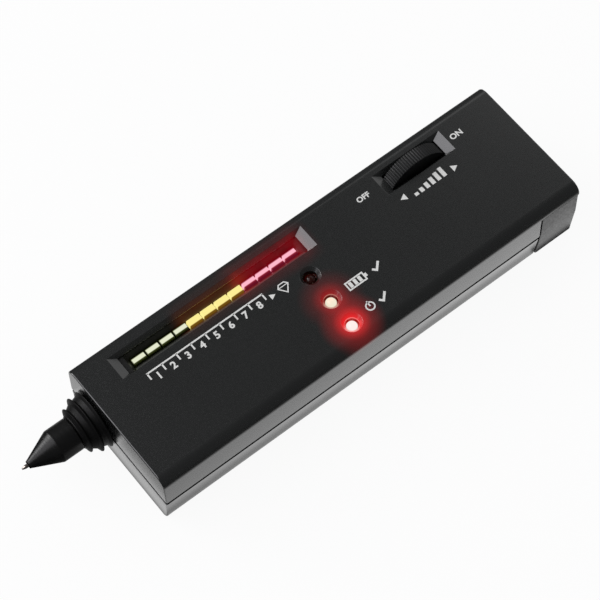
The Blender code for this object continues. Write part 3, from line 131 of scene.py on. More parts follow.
table_white = bpy.data.materials.new("table_white")
table_white.use_nodes = True
tree = table_white.node_tree
paper = tree.nodes["Principled BSDF"]
paper.inputs["Base Color"].default_value = (0.88, 0.88, 0.88, 1)
paper.inputs["Roughness"].default_value = 0.9
paper.inputs["Specular IOR Level"].default_value = 0.1
x, y, z = sides_of(tree, own_place(tree))
from_middle = reckon(tree, "SUBTRACT", x, (case_front + cad_high.x) / 2)
past_ends = reckon(
    tree, "SUBTRACT", reckon(tree, "ABSOLUTE", from_middle), (cad_high.x - case_front) / 2
)
past_sides = reckon(tree, "SUBTRACT", reckon(tree, "ABSOLUTE", y), cad_high.y)
out = reckon(tree, "MAXIMUM", past_ends, past_sides)
pool_level, table_level = 0.75, 0.05
wide_reach, near_reach = (0.009, 0.032), (0.0036, 0.0046)
wide_pool = grade(tree, out, *wide_reach, pool_level, table_level)
near_pool = grade(tree, out, *near_reach, 1, 0)
# The painted shade at the foot ends at the cover, along a line that runs outward with the view.
shade_level, shade_reach, cover_shade_reach = 0.45, 0.0012, 0.0010
seam_slant = -0.75
at_cover = (seam, seam + 0.0006)
along_seam = reckon(tree, "MULTIPLY_ADD", out, seam_slant, x)
shade_end = grade(tree, along_seam, *at_cover, shade_reach, cover_shade_reach)
shade_start = grade(tree, along_seam, *at_cover, shade_level, 0)
shaded_foot = grade(tree, out, 0, shade_end, shade_start, 1)
# The painted light that the front wall mirrors gets dimmer away from it, except on the far side of
# the probe.
low_step, high_step = 0.38, 1.15
step_reach, foot_reach, probe_reach = (-0.0584, -0.0558), (-0.0548, -0.0536), (0.002, 0.007)
front_step = grade(tree, x, *step_reach, low_step, high_step)
front_foot = grade(tree, x, *foot_reach, high_step, 1)
stepped = reckon(tree, "MINIMUM", front_step, front_foot)
before_case = reckon(tree, "MAXIMUM", stepped, grade(tree, y, *probe_reach, 0, 1))
# Painted reflections: the mirrored table is dimmer toward the front and near the probe's tip, and a
# painted glow under the case lights the underside's reflections.
front_level, probe_level, underside_level = 0.70, 0.12, 0.6
case_reach, nose_reach, rim_reach = (-0.060, 0.060), (-0.074, -0.060), (-0.0010, -0.0005)
rearward = grade(tree, x, *case_reach, front_level, 1, smooth=False)
front_fade = grade(tree, x, *nose_reach, probe_level, 1)
painted_underside_glow = grade(tree, out, *rim_reach, underside_level, 0)
path = tree.nodes.new("ShaderNodeLightPath").outputs
painted_pool = reckon(tree, "MAXIMUM", wide_pool, near_pool)
strength = product(tree, painted_pool, shaded_foot, rearward, front_fade, before_case)
for least in (painted_underside_glow, path["Is Camera Ray"]):
    strength = reckon(tree, "MAXIMUM", strength, least)
share_seen = 0.93
seen = reckon(tree, "MULTIPLY", path["Is Camera Ray"], share_seen)
mirrored = reckon(tree, "MAXIMUM", path["Is Glossy Ray"], path["Is Transmission Ray"])
glow = tree.nodes.new("ShaderNodeEmission")
from_above = tree.nodes.new("ShaderNodeMixShader")
from_below = tree.nodes.new("ShaderNodeMixShader")
facing = tree.nodes.new("ShaderNodeNewGeometry")
clear = tree.nodes.new("ShaderNodeBsdfTransparent")
for node, entry, value in (
    (glow, "Strength", strength),
    (from_above, 0, reckon(tree, "MAXIMUM", seen, mirrored)),
    (from_above, 1, paper.outputs["BSDF"]),
    (from_above, 2, glow.outputs["Emission"]),
    (from_below, 0, facing.outputs["Backfacing"]),
    (from_below, 1, from_above.outputs["Shader"]),
    (from_below, 2, clear.outputs["BSDF"]),
    (tree.nodes["Material Output"], "Surface", from_below.outputs["Shader"]),
):
    feed(tree, node, entry, value)
table_mesh.materials.append(table_white)

# Light: a soft box over the front far corner and a weak low one at the rear, which the ramps of the
# two windows mirror, a third from the far side for the nose cone, and an even room that is white to
# the eye, but dim to what mirrors it.
case_top = case_high.z
room = bpy.data.worlds.new("room")
bpy.context.scene.world = room
room.use_nodes = True
tree = room.node_tree
room_shade = tree.nodes["Background"]
room_level, mirrored_level = 0.48, 0.06
path = tree.nodes.new("ShaderNodeLightPath").outputs
dimmed = reckon(
    tree, "MULTIPLY_ADD", path["Is Glossy Ray"], mirrored_level - room_level, room_level
)
feed(tree, room_shade, "Color", (0.97, 0.98, 1.0, 1))
feed(tree, room_shade, "Strength", reckon(tree, "MAXIMUM", dimmed, path["Is Camera Ray"]))
middle = Vector(((case_low.x + case_high.x) / 2, 0, case_top))
for name, direction, distance, size, power, colour in (
    ("soft_box_far", Vector((-0.59, 0.37, 0.72)), 0.90, 0.85, 3.3, (0.97, 0.96, 1.0)),
    ("soft_box_rear", Vector((0.85, 0.37, 0.40)), 1.00, 1.20, 1.6, (1.0, 1.0, 1.0)),
    ("soft_box_beside", Vector((-0.45, 0.80, 0.42)), 1.00, 0.45, 2.6, (1.0, 1.0, 1.0)),
):
    lamp = bpy.data.lights.new(name, "AREA")
    lamp.shape = "SQUARE"
    lamp.size = size
    lamp.energy = power
    lamp.color = colour
    holder = bpy.data.objects.new(name, lamp)
    bpy.context.scene.collection.objects.link(holder)
    direction = direction.normalized()
    holder.rotation_mode = "QUATERNION"
    holder.location = middle + direction * distance
    holder.rotation_quaternion = direction.to_track_quat("Z", "Y")
bpy.context.scene.view_settings.view_transform = "Standard"

# Camera: a long lens above the near front corner, where the photograph was taken from.
lens_right = Vector((0.78650, -0.61747, -0.01216))
lens_down = Vector((-0.55102, -0.69270, -0.46535))
lens_ahead = Vector((0.27892, 0.37270, -0.88504))
eye = Vector((-0.15705, -0.21248, 0.52461))
camera_data = bpy.data.cameras.new("photo_camera")
camera_data.sensor_width = 36
camera_data.lens = 139.6
camera_data.clip_start = 0.01
camera_data.clip_end = 10
camera = bpy.data.objects.new("photo_camera", camera_data)
bpy.context.scene.collection.objects.link(camera)
turn = Matrix((lens_right, -lens_down, -lens_ahead)).transposed()
camera.matrix_world = Matrix.Translation(eye) @ turn.to_4x4()
bpy.context.scene.camera = camera


# Bottom half of the case: a black ABS moulding with a fine spark-eroded grain. It has a lip along
# the parting line, screw posts and the walls of the battery bay.
def make_group(name, inputs, outputs):
    """Empty shader group, the node that holds its inputs and the one that takes its outputs."""
    group = bpy.data.node_groups.new(name, "ShaderNodeTree")
    for entry, value in inputs:
        kind = "NodeSocketVector" if isinstance(value, tuple) else "NodeSocketFloat"
        made = group.interface.new_socket(name=entry, in_out="INPUT", socket_type=kind)
        made.default_value = value
    for entry in outputs:
        group.interface.new_socket(name=entry, in_out="OUTPUT", socket_type="NodeSocketFloat")
    given = group.nodes.new("NodeGroupInput").outputs
    return group, given, group.nodes.new("NodeGroupOutput")


def reckon_place(tree, operation, *values):
    """Result of a vector math node on places."""
    node = tree.nodes.new("ShaderNodeVectorMath")
    node.operation = operation
    for index, value in enumerate(values):
        feed(tree, node, index, value)
    return node.outputs["Value" if operation == "DISTANCE" else "Vector"]


def cloud(tree, place, scale, detail):
    """Soft random pattern, with this many features to the metre."""
    node = tree.nodes.new("ShaderNodeTexNoise")
    for entry, value in (("Vector", place), ("Scale", scale), ("Detail", detail)):
        feed(tree, node, entry, value)
    return node.outputs["Fac"]


grain, given, result = make_group(
    "moulded_grain",
    [("Grains per metre", 3000), ("Patches per metre", 60), ("Stretch", (1, 1, 1))],
    ["Grain", "Patches"],
)
spread = reckon_place(grain, "MULTIPLY", own_place(grain), given["Stretch"])
feed(grain, result, "Grain", cloud(grain, spread, given["Grains per metre"], 3))
feed(grain, result, "Patches", cloud(grain, spread, given["Patches per metre"], 4))

edge_wear, given, result = make_group(
    "edge_wear",
    [("Low corner", (0, 0, 0)), ("High corner", (1, 1, 1)), ("Reach", 0.0006)],
    ["Worn"],
)
place = own_place(edge_wear)
from_low = reckon_place(edge_wear, "SUBTRACT", place, given["Low corner"])
to_high = reckon_place(edge_wear, "SUBTRACT", given["High corner"], place)
x, y, z = sides_of(edge_wear, reckon_place(edge_wear, "MINIMUM", from_low, to_high))
least = reckon(edge_wear, "MINIMUM", x, y)
capped = reckon(edge_wear, "MINIMUM", reckon(edge_wear, "MAXIMUM", x, y), z)
from_edge = reckon(edge_wear, "MAXIMUM", least, capped)
edge_band = grade(edge_wear, from_edge, 0, given["Reach"], 1, 0)
patchy = grade(edge_wear, cloud(edge_wear, place, 420, 5), 0.42, 0.68, 0, 1)
feed(edge_wear, result, "Worn", product(edge_wear, edge_band, patchy))


def place_group(material, group, *values):
    """Places a shader group in a material, with its own values."""
    node = material.node_tree.nodes.new("ShaderNodeGroup")
    node.node_tree = group
    for entry, value in values:
        node.inputs[entry].default_value = value
    return node


def surface(name, dark, light, rough, grains, depth, metal=0.0, patches=60, stretch=(1, 1, 1)):
    """Material whose colour and roughness wander over the surface, with a fine raised grain."""
    material = bpy.data.materials.new(name)
    material.use_nodes = True
    tree = material.node_tree
    shader = tree.nodes["Principled BSDF"]
    texture = place_group(
        material, grain,
        ("Grains per metre", grains), ("Patches per metre", patches), ("Stretch", stretch),
    )
    texture.name = "texture"
    tint = tree.nodes.new("ShaderNodeMix")
    tint.data_type = "RGBA"
    bump = tree.nodes.new("ShaderNodeBump")
    for node, entry, value in (
        (tint, "Factor", texture.outputs["Patches"]),
        (tint, "A", (*dark, 1)),
        (tint, "B", (*light, 1)),
        (bump, "Distance", depth),
        (bump, "Strength", 0.6),
        (bump, "Height", texture.outputs["Grain"]),
        (shader, "Base Color", tint.outputs["Result"]),
        (shader, "Roughness", grade(tree, texture.outputs["Grain"], 0.3, 0.7, *rough)),
        (shader, "Metallic", metal),
        (shader, "Normal", bump.outputs["Normal"]),
    ):
        feed(tree, node, entry, value)
    return material


def recolour(material, colour, mask):
    """Lays another colour over a material's own where a mask says so."""
    tree = material.node_tree
    shader = tree.nodes["Principled BSDF"]
    over = tree.nodes.new("ShaderNodeMix")
    over.data_type = "RGBA"
    feed(tree, over, "Factor", mask)
    feed(tree, over, "A", shader.inputs["Base Color"].links[0].from_socket)
    feed(tree, over, "B", (*colour, 1))
    feed(tree, shader, "Base Color", over.outputs["Result"])


def wear_edges(material, low, high):
    """Rubs a material's colour lighter in patches along the edges of a box."""
    rubbed = place_group(
        material, edge_wear, ("Low corner", low), ("High corner", high), ("Reach", 0.0007)
    )
    recolour(material, (0.045, 0.047, 0.047), rubbed.outputs["Worn"])


def polish(material):
    """Gives a moulded surface the dense gloss of a polished mould."""
    shader = material.node_tree.nodes["Principled BSDF"]
    shader.inputs["IOR"].default_value = 1.85
    shader.inputs["Coat Weight"].default_value = 1
    shader.inputs["Coat IOR"].default_value = 1.6
    shader.inputs["Coat Roughness"].default_value = 0.22


def merged_form(node_name):
    """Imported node's form with its loose corners joined and its flat faces made whole."""
    form = bmesh.new()
    form.from_mesh(nodes[node_name].data)
    bmesh.ops.remove_doubles(form, verts=form.verts, dist=0.000002)
    bmesh.ops.dissolve_limit(
        form, angle_limit=math.radians(0.5), verts=form.verts, edges=form.edges
    )
    return form


def soften(form, width, segments, wanted=None, angle=28):
    """Rounds the form's sharp edges, or those of them that are wanted."""
    sharp = [
        edge
        for edge in form.edges
        if len(edge.link_faces) == 2
        and abs(edge.calc_face_angle()) > math.radians(angle)
        and (wanted is None or all(wanted(corner.co) for corner in edge.verts))
    ]
    bmesh.ops.bevel(
        form,
        geom=sharp,
        offset=width,
        offset_type="OFFSET",
        affect="EDGES",
        segments=segments,
        profile=0.5,
        material=-1,
        clamp_overlap=False,
    )


def set_piece(name, form, material, slot, body, *replaced, sharp=40):
    """Makes a worked form a piece of the tester, fixed to the body that carries it."""
    for face in form.faces:
        face.smooth = True
    for edge in form.edges:
        edge.smooth = len(edge.link_faces) == 2 and edge.calc_face_angle() < math.radians(sharp)
    mesh = bpy.data.meshes.new(name)
    form.to_mesh(mesh)
    form.free()
    mesh.materials.append(material)
    piece = bpy.data.objects.new(name, mesh)
    bpy.context.scene.collection.objects.link(piece)
    even = piece.modifiers.new("even_shading", "WEIGHTED_NORMAL")
    even.keep_sharp = True
    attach(piece, body)
    if replaced:
        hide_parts(*replaced)
    return piece


def at_seam(co):
    """Whether a place lies on the outer edge beside the battery cover."""
    return abs(co.x - seam) < 0.0001 and abs(co.y) > case_high.y - 0.0014


black_abs = ((0.0085, 0.0094, 0.0091), (0.0122, 0.0134, 0.0130), (0.22, 0.30), 3200, 0.000006)
case_plastic = surface("case_plastic", *black_abs)
polish(case_plastic)
wear_edges(case_plastic, cad_low, cad_high)
foot_rounding, seam_rounding = 0.00012, 0.00036
lower_form = merged_form("lower_shell")
soften(lower_form, foot_rounding, 2, lambda co: co.z < 0.0002 or co.x < case_front + 0.0012)
soften(lower_form, seam_rounding, 2, at_seam, 60)
set_piece("lower_shell_moulding", lower_form, case_plastic, "case_plastic", "case", "lower_shell")


# Touch plate: a strip of brushed stainless sheet let into the underside, held by two bent tabs. A
# green lead runs from one tab up to the board.
def set_softened(name, node_name, material, slot, width, segments, body="case", angle=28):
    """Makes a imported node's form a piece, with its sharp edges rounded."""
    form = merged_form(node_name)
    soften(form, width, segments, angle=angle)
    set_piece(name, form, material, slot, body, node_name)


def dress(node_name, material):
    """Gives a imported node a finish, in place of the plain one it comes with."""
    for entry in nodes[node_name].material_slots:
        entry.material = material


def wire_sleeve(name, dark, light):
    """Soft coloured sleeve of a thin wire."""
    return surface(name, dark, light, (0.36, 0.5), 1800, 0.00001)


touch_steel = surface(
    "touch_plate_steel", (0.42, 0.42, 0.41), (0.62, 0.62, 0.60), (0.24, 0.42), 2600, 0.000004,
    metal=1.0, patches=900, stretch=(0.03, 1, 1),
)
set_softened("touch_plate_sheet", "touch_plate", touch_steel, "touch_plate_steel", 0.00008, 2)
dress("touch_plate_lead", wire_sleeve("green_wire", (0.012, 0.13, 0.04), (0.02, 0.2, 0.06)))

# Circuit board: glass laminate with green solder mask over copper tracks, and rows of tinned pads.
# It rests on the four screw posts of the lower half.
solder_mask = surface(
    "board_laminate", (0.006, 0.045, 0.018), (0.010, 0.070, 0.028), (0.26, 0.38), 5000, 0.000004
)
tree = solder_mask.node_tree
place = own_place(tree)
tracks = tree.nodes.new("ShaderNodeTexBrick")
tracks.offset = 0.37
dots = tree.nodes.new("ShaderNodeTexVoronoi")
for node, entry, value in (
    (tracks, "Vector", place),
    (tracks, "Scale", 150),
    (tracks, "Mortar Size", 0.06),
    (dots, "Vector", place),
    (dots, "Scale", 394),
    (dots, "Randomness", 0),
):
    feed(tree, node, entry, value)
recolour(solder_mask, (0.022, 0.14, 0.05), tracks.outputs["Fac"])
pads = grade(tree, dots.outputs["Distance"], 0.30, 0.34, 1, 0)
recolour(solder_mask, (0.55, 0.55, 0.52), pads)
dress("circuit_board", solder_mask)

# Chips: two light drivers and an amplifier, moulded in black epoxy with bent and tinned legs, which
# hang under the board.
chip_epoxy = surface(
    "chip_epoxy", (0.012, 0.012, 0.013), (0.026, 0.026, 0.027), (0.45, 0.6), 5200, 0.00001
)
tree = chip_epoxy.node_tree
chip_low, chip_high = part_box("comparator_chip_1")
leg_reach = 0.00061
x, y, z = sides_of(tree, own_place(tree))
aside = reckon(tree, "ABSOLUTE", reckon(tree, "SUBTRACT", y, (chip_low.y + chip_high.y) / 2))
tinned = reckon(tree, "GREATER_THAN", aside, (chip_high.y - chip_low.y) / 2 - leg_reach)
feed(tree, tree.nodes["Principled BSDF"], "Metallic", tinned)
recolour(chip_epoxy, (0.58, 0.58, 0.56), tinned)
for node_name in ("comparator_chip_1", "comparator_chip_2", "amplifier_chip"):
    dress(node_name, chip_epoxy)

# Resistors: tan-coated bodies with four colour bands, soldered flat beside the light row.
resistor_coat = surface(
    "resistor_coat", (0.46, 0.34, 0.20), (0.55, 0.42, 0.26), (0.3, 0.42), 2600, 0.000008
)
tree = resistor_coat.node_tree
resistor_low, resistor_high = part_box("resistor_1")
x, y, z = sides_of(tree, own_place(tree))
along_body = grade(tree, y, resistor_low.y, resistor_high.y, 0, 1, smooth=False)
band_width = 0.09
for start, colour in (
    (0.14, (0.10, 0.035, 0.012)),
    (0.34, (0.008, 0.008, 0.008)),
    (0.50, (0.40, 0.02, 0.015)),
    (0.74, (0.50, 0.33, 0.06)),
):
    past_start = reckon(tree, "GREATER_THAN", along_body, start)
    before_end = reckon(tree, "LESS_THAN", along_body, start + band_width)
    recolour(resistor_coat, colour, product(tree, past_start, before_end))
for number in range(1, 5):
    dress(f"resistor_{number}", resistor_coat)

# Trimmers: blue moulded blocks with a turning dial, by which the scale is set in the factory.
trimmer_blue = surface(
    "trimmer_blue", (0.03, 0.11, 0.38), (0.05, 0.16, 0.50), (0.36, 0.5), 2600, 0.00001
)
for node_name in ("trimmer_1", "trimmer_2"):
    set_softened(f"{node_name}_block", node_name, trimmer_blue, "trimmer_blue", 0.00015, 2)

# Capacitors: aluminium cans in a dark shrunk sleeve with a pale stripe, standing under the board.
can_sleeve = surface(
    "capacitor_sleeve", (0.02, 0.03, 0.09), (0.03, 0.04, 0.12), (0.22, 0.34), 1500, 0.000006
)
tree = can_sleeve.node_tree
can_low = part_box("capacitor_1")[0]
x, y, z = sides_of(tree, own_place(tree))
stripe = reckon(tree, "LESS_THAN", y, can_low.y + 0.0003)
can_foot = reckon(tree, "LESS_THAN", z, can_low.z + 0.00005)
feed(tree, tree.nodes["Principled BSDF"], "Metallic", can_foot)
recolour(can_sleeve, (0.6, 0.6, 0.58), stripe)
recolour(can_sleeve, (0.7, 0.7, 0.7), can_foot)
for node_name in ("capacitor_1", "capacitor_2"):
    dress(node_name, can_sleeve)

# Regulator and buzzer: a small moulded half-round body, and a round sounder with its hole below.
regulator_epoxy = surface(
    "regulator_epoxy", (0.012, 0.012, 0.012), (0.024, 0.024, 0.024), (0.4, 0.55), 5000, 0.00001
)
dress("voltage_regulator", regulator_epoxy)
buzzer_plastic = surface(
    "buzzer_plastic", (0.012, 0.012, 0.012), (0.022, 0.022, 0.022), (0.32, 0.45), 3400, 0.00001
)
set_softened("buzzer_can", "buzzer", buzzer_plastic, "buzzer_plastic", 0.00025, 3)

# Light holder: a black moulded strip with a sloped groove, which keeps the twelve lights in line.
# The lights' glow on its inner sides is painted on as emission.
row_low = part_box("green_light_1")[0]
row_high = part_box("red_light_4")[1]
row_y = (row_low.y + row_high.y) / 2
amber_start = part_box("amber_light_1")[0].x
red_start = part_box("red_light_1")[0].x
# Mask of the lights' painted glow beside the row, given as emission.
light_spill, given, result = make_group(
    "light_spill",
    [
        ("Start", 0), ("End", 0.01), ("Fade", 0.003), ("Row", row_y), ("Reach", 0.004),
        ("Ceiling", case_top),
    ],
    ["Spill"],
)
tree = light_spill
place = own_place(tree)
x, y, z = sides_of(tree, place)
before = reckon(tree, "SUBTRACT", given["Start"], given["Fade"])
after = reckon(tree, "ADD", given["End"], given["Fade"])
aside = reckon(tree, "ABSOLUTE", reckon(tree, "SUBTRACT", y, given["Row"]))
spill = product(
    tree,
    grade(tree, x, before, given["Start"], 0, 1),
    grade(tree, x, given["End"], after, 1, 0),
    grade(tree, aside, 0.0020, given["Reach"], 1, 0),
    reckon(tree, "LESS_THAN", z, given["Ceiling"]),
    grade(tree, cloud(tree, place, 260, 2), 0.3, 0.7, 0.75, 1.1),
)
feed(tree, result, "Spill", spill)


def add_glow(material, colour, mask):
    """Adds light of a colour to what a material gives off, as strong as a mask says."""
    tree = material.node_tree
    shader = tree.nodes["Principled BSDF"]
    shader.inputs["Emission Strength"].default_value = 1
    earlier = shader.inputs["Emission Color"].links
    tinted = tree.nodes.new("ShaderNodeMix")
    tinted.data_type = "RGBA"
    tinted.blend_type = "ADD"
    feed(tree, tinted, "Factor", mask)
    feed(tree, tinted, "A", earlier[0].from_socket if earlier else (0, 0, 0, 1))
    feed(tree, tinted, "B", (*colour, 1))
    feed(tree, shader, "Emission Color", tinted.outputs["Result"])


def paint_light_spill(material, ceiling):
    """Paints the lights' glow as emission beside the row. Only its wide part goes above the
    ceiling.
    """
    no_ceiling = 1
    for start, end, fade, reach, top, colour in (
        (row_low.x, amber_start, 0.0030, 0.0046, ceiling, (0.0010, 0.0012, 0.0001)),
        (amber_start, red_start, 0.0036, 0.0046, ceiling, (0.026, 0.0060, 0.0002)),
        (red_start, row_high.x, 0.0035, 0.0046, ceiling, (0.100, 0.0002, 0.0020)),
        (amber_start, red_start, 0.0050, 0.0070, no_ceiling, (0.018, 0.0020, 0.0002)),
        (red_start, row_high.x, 0.0060, 0.0074, no_ceiling, (0.050, 0.0003, 0.0010)),
    ):
        fallen = place_group(
            material, light_spill,
            ("Start", start), ("End", end), ("Fade", fade), ("Reach", reach), ("Ceiling", top),
        )
        add_glow(material, colour, fallen.outputs["Spill"])


holder_plastic = surface(
    "light_holder_plastic", (0.006, 0.006, 0.006), (0.011, 0.011, 0.011), (0.36, 0.5), 3400, 0.00001
)
# The holder's inner sides carry the lights' painted glow.
paint_light_spill(holder_plastic, case_top)
dress("light_holder", holder_plastic)

# Indicator lights: twelve flat bodies of tinted clear epoxy in green, amber and red, each with a
# thin flange at its foot. The chip under the flat top shows as a bright dash.
light_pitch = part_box("green_light_2")[0].x - row_low.x
light_length = row_high.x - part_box("red_light_4")[0].x
lit_dash, given, result = make_group(
    "lit_dash",
    [("Half width", 0.0005), ("Soft edge", 0.0002), ("Gap", 0.0006), ("Foot", 0.016)],
    ["Dash", "Fringe"],
)
tree = lit_dash
dash_shift = 0.00012
fringe_width = 2.2
dash_end_fade = 0.00025
x, y, z = sides_of(tree, own_place(tree))
aside = reckon(tree, "ABSOLUTE", reckon(tree, "SUBTRACT", y, row_y + dash_shift))
outer = reckon(tree, "ADD", given["Half width"], given["Soft edge"])
stripe = grade(tree, aside, given["Half width"], outer, 1, 0)
wide = reckon(tree, "MULTIPLY_ADD", given["Soft edge"], fringe_width, outer)
fringe = grade(tree, aside, given["Half width"], wide, 1, 0)
shifted = reckon(tree, "SUBTRACT", x, row_low.x + light_length / 2)
repeated = reckon(tree, "WRAP", shifted, light_pitch / 2, -light_pitch / 2)
half_dash = reckon(tree, "SUBTRACT", light_pitch / 2, given["Gap"])
past_end = reckon(tree, "SUBTRACT", reckon(tree, "ABSOLUTE", repeated), half_dash)
dashed = grade(tree, past_end, 0, dash_end_fade, 1, 0)
above = reckon(tree, "GREATER_THAN", z, given["Foot"])
feed(tree, result, "Dash", product(tree, stripe, dashed, above))
feed(tree, result, "Fringe", product(tree, fringe, above))

foot_height = 0.0006
end_draft, side_draft = 0.00010, 0.00012
light_top = row_high.z
for colour_name, tint, fringe_colour, core, half_width, soft_edge, gap, lit_depth in (
    (
        "green", (0.014, 0.020, 0.003), (0.035, 0.038, 0.004), (0.74, 0.76, 0.61),
        0.00046, 0.00024, 0.00045, 0.0005,
    ),
    (
        "amber", (0.060, 0.020, 0.001), (0.24, 0.12, 0.010), (0.70, 0.72, 0.29),
        0.00078, 0.00024, -0.00020, 0.0016,
    ),
    (
        "red", (0.050, 0.001, 0.004), (0.22, 0.001, 0.014), (0.72, 0.48, 0.57),
        0.00038, 0.00032, 0.00014, 0.0016,
    ),
):
    slot = f"{colour_name}_light_epoxy"
    light_tint = tuple(share * 1.4 for share in tint)
    epoxy = surface(slot, tint, light_tint, (0.10, 0.22), 900, 0.000004)
    dash_mask = place_group(
        epoxy, lit_dash,
        ("Half width", half_width), ("Soft edge", soft_edge), ("Gap", gap),
        ("Foot", light_top - lit_depth),
    )
    add_glow(epoxy, fringe_colour, dash_mask.outputs["Fringe"])
    if colour_name == "red":
        texture = epoxy.node_tree.nodes["texture"]
        add_glow(epoxy, (0.150, 0.012, 0.030), texture.outputs["Patches"])
    add_glow(epoxy, core, dash_mask.outputs["Dash"])
    for number in range(1, 5):
        node_name = f"{colour_name}_light_{number}"
        low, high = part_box(node_name)
        light_middle = (low + high) / 2
        body_foot = low.z + foot_height
        light_form = bmesh.new()
        bmesh.ops.create_cube(light_form, size=1)
        bmesh.ops.scale(light_form, vec=high - low, verts=light_form.verts)
        bmesh.ops.translate(light_form, vec=light_middle, verts=light_form.verts)
        bmesh.ops.bisect_plane(
            light_form,
            geom=light_form.verts[:] + light_form.edges[:] + light_form.faces[:],
            plane_co=(0, 0, body_foot),
            plane_no=(0, 0, 1),
        )
        for corner in light_form.verts:
            if corner.co.z > body_foot + 0.0001:
                corner.co.x += math.copysign(end_draft, light_middle.x - corner.co.x)
                corner.co.y += math.copysign(side_draft, light_middle.y - corner.co.y)
        soften(light_form, 0.00018, 3, lambda co: co.z > body_foot + 0.0001)
        set_piece(f"{node_name}_body", light_form, epoxy, slot, "case", node_name)

# Round lamps: three 3 mm domes of red epoxy behind countersunk holes. The two of the battery and of
# the ready signal are lit, the one for a found stone is dark.
halo_height = 0.0022
lamp_core, given, result = make_group(
    "lamp_core", [("Axis", (0, 0, 0)), ("Inner", 0.001), ("Outer", 0.002), ("Foot", 0)], ["Core"]
)
tree = lamp_core
place = own_place(tree)
x, y, z = sides_of(tree, place)
flat = reckon_place(tree, "MULTIPLY", place, (1, 1, 0))
apart = reckon_place(tree, "DISTANCE", flat, given["Axis"])
ring = grade(tree, apart, given["Inner"], given["Outer"], 1, 0)
full_height = reckon(tree, "ADD", given["Foot"], halo_height)
high_up = grade(tree, z, given["Foot"], full_height, 0, 1)
feed(tree, result, "Core", product(tree, ring, high_up))


def lathe(profile, foot, axis, steps, closed=False):
    """Turned form: a profile of (reach along the axis, radius) points swept right round."""
    form = bmesh.new()
    points = [form.verts.new((reach, 0, radius)) for reach, radius in profile]
    for pair in zip(points, points[1:]):
        form.edges.new(pair)
    if closed:
        form.edges.new((points[-1], points[0]))
    bmesh.ops.spin(
        form,
        geom=form.verts[:] + form.edges[:],
        cent=(0, 0, 0),
        axis=(1, 0, 0),
        angle=math.tau,
        steps=steps,
        use_merge=True,
    )
    bmesh.ops.remove_doubles(form, verts=form.verts, dist=0.0000005)
    bmesh.ops.recalc_face_normals(form, faces=form.faces)
    turn = Vector((1, 0, 0)).rotation_difference(Vector(axis)).to_matrix().to_4x4()
    bmesh.ops.transform(form, matrix=Matrix.Translation(foot) @ turn, verts=form.verts)
    return form


lamp_radius = 0.0015
flange_radius = 0.0019
flange_height = 0.0010
flange_chamfer = 0.0001
dome_steps = 12
lit_axes = []
for node_name, white, halo_red in (
    ("diamond_lamp", None, 0),
    ("battery_lamp", (0.42, 0.80, 0.62), 0.21),
    ("ready_lamp", (0.46, 0.84, 0.80), 0.58),
):
    low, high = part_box(node_name)
    foot = Vector(((low.x + high.x) / 2, (low.y + high.y) / 2, low.z))
    dome_foot = high.z - low.z - lamp_radius
    profile = [
        (0, 0),
        (0, flange_radius),
        (flange_height - flange_chamfer, flange_radius),
        (flange_height, flange_radius - flange_chamfer),
        (flange_height, lamp_radius),
    ]
    for step in range(dome_steps + 1):
        angle = step / dome_steps * math.pi / 2
        profile.append(
            (dome_foot + lamp_radius * math.sin(angle), lamp_radius * math.cos(angle))
        )
    lamp_form = lathe(profile, foot, (0, 0, 1), 48)
    if white:
        slot = "lamp_epoxy_lit"
        epoxy = surface(
            f"{node_name}_epoxy", (0.30, 0.010, 0.012), (0.42, 0.014, 0.016), (0.08, 0.16), 900,
            0.000003,
        )
        core_mask = place_group(
            epoxy, lamp_core,
            ("Axis", (foot.x, foot.y, 0)), ("Inner", 0.00128), ("Outer", 0.00165),
        )
        texture = epoxy.node_tree.nodes["texture"]
        add_glow(epoxy, (0.60, 0.010, 0.016), texture.outputs["Patches"])
        add_glow(epoxy, white, core_mask.outputs["Core"])
        lit_axes.append(((foot.x, foot.y, 0), halo_red))
    else:
        slot = "lamp_epoxy_unlit"
        epoxy = surface(
            f"{node_name}_epoxy", (0.018, 0.0035, 0.0025), (0.032, 0.006, 0.004), (0.10, 0.20), 900,
            0.000003,
        )
    set_piece(f"{node_name}_dome", lamp_form, epoxy, slot, "case", node_name)


def paint_lamp_halo(material, foot):
    """Paints the red glow of the two lit lamps round them as emission, above a height."""
    for axis, level in lit_axes:
        for inner, outer, part in (
            (0.0010, 0.0030, 0.6),
            (0.0016, 0.0052, 0.7),
            (0.0020, 0.0090, 0.36),
        ):
            halo = place_group(
                material, lamp_core,
                ("Axis", axis), ("Inner", inner), ("Outer", outer), ("Foot", foot),
            )
            red = level * part
            add_glow(material, (red, red * 0.010, red * 0.014), halo.outputs["Core"])


# The board carries a painted red glow round the lit lamps, seen through their holes.
paint_lamp_halo(solder_mask, 0)

# Edge wheel: black moulded wheel with a toothed rim, screwed to the shaft of the potentiometer. It
# switches the tester on and sets its level.
wheel_plastic = surface(
    "wheel_plastic", (0.0060, 0.0064, 0.0064), (0.0110, 0.0115, 0.0115), (0.38, 0.52), 3400, 0.00001
)
set_softened(
    "thumb_wheel_rim", "thumb_wheel", wheel_plastic, "wheel_plastic", 0.00005, 2, "wheel", 24
)

# Potentiometer: a flat moulded body on three lugs, its pale turning shaft and the small zinc-plated
# screw that holds the wheel.
pot_body = surface(
    "pot_body", (0.07, 0.07, 0.08), (0.10, 0.10, 0.11), (0.4, 0.52), 3000, 0.00001
)
pot_shaft = surface(
    "pot_shaft", (0.66, 0.66, 0.63), (0.78, 0.78, 0.75), (0.3, 0.42), 2600, 0.000008
)
plated_steel = surface(
    "screw_steel", (0.44, 0.44, 0.43), (0.62, 0.62, 0.60), (0.22, 0.38), 3600, 0.000006,
    metal=1.0, patches=700,
)
dress("potentiometer_body", pot_body)
dress("potentiometer_shaft", pot_shaft)
dress("wheel_screw", plated_steel)

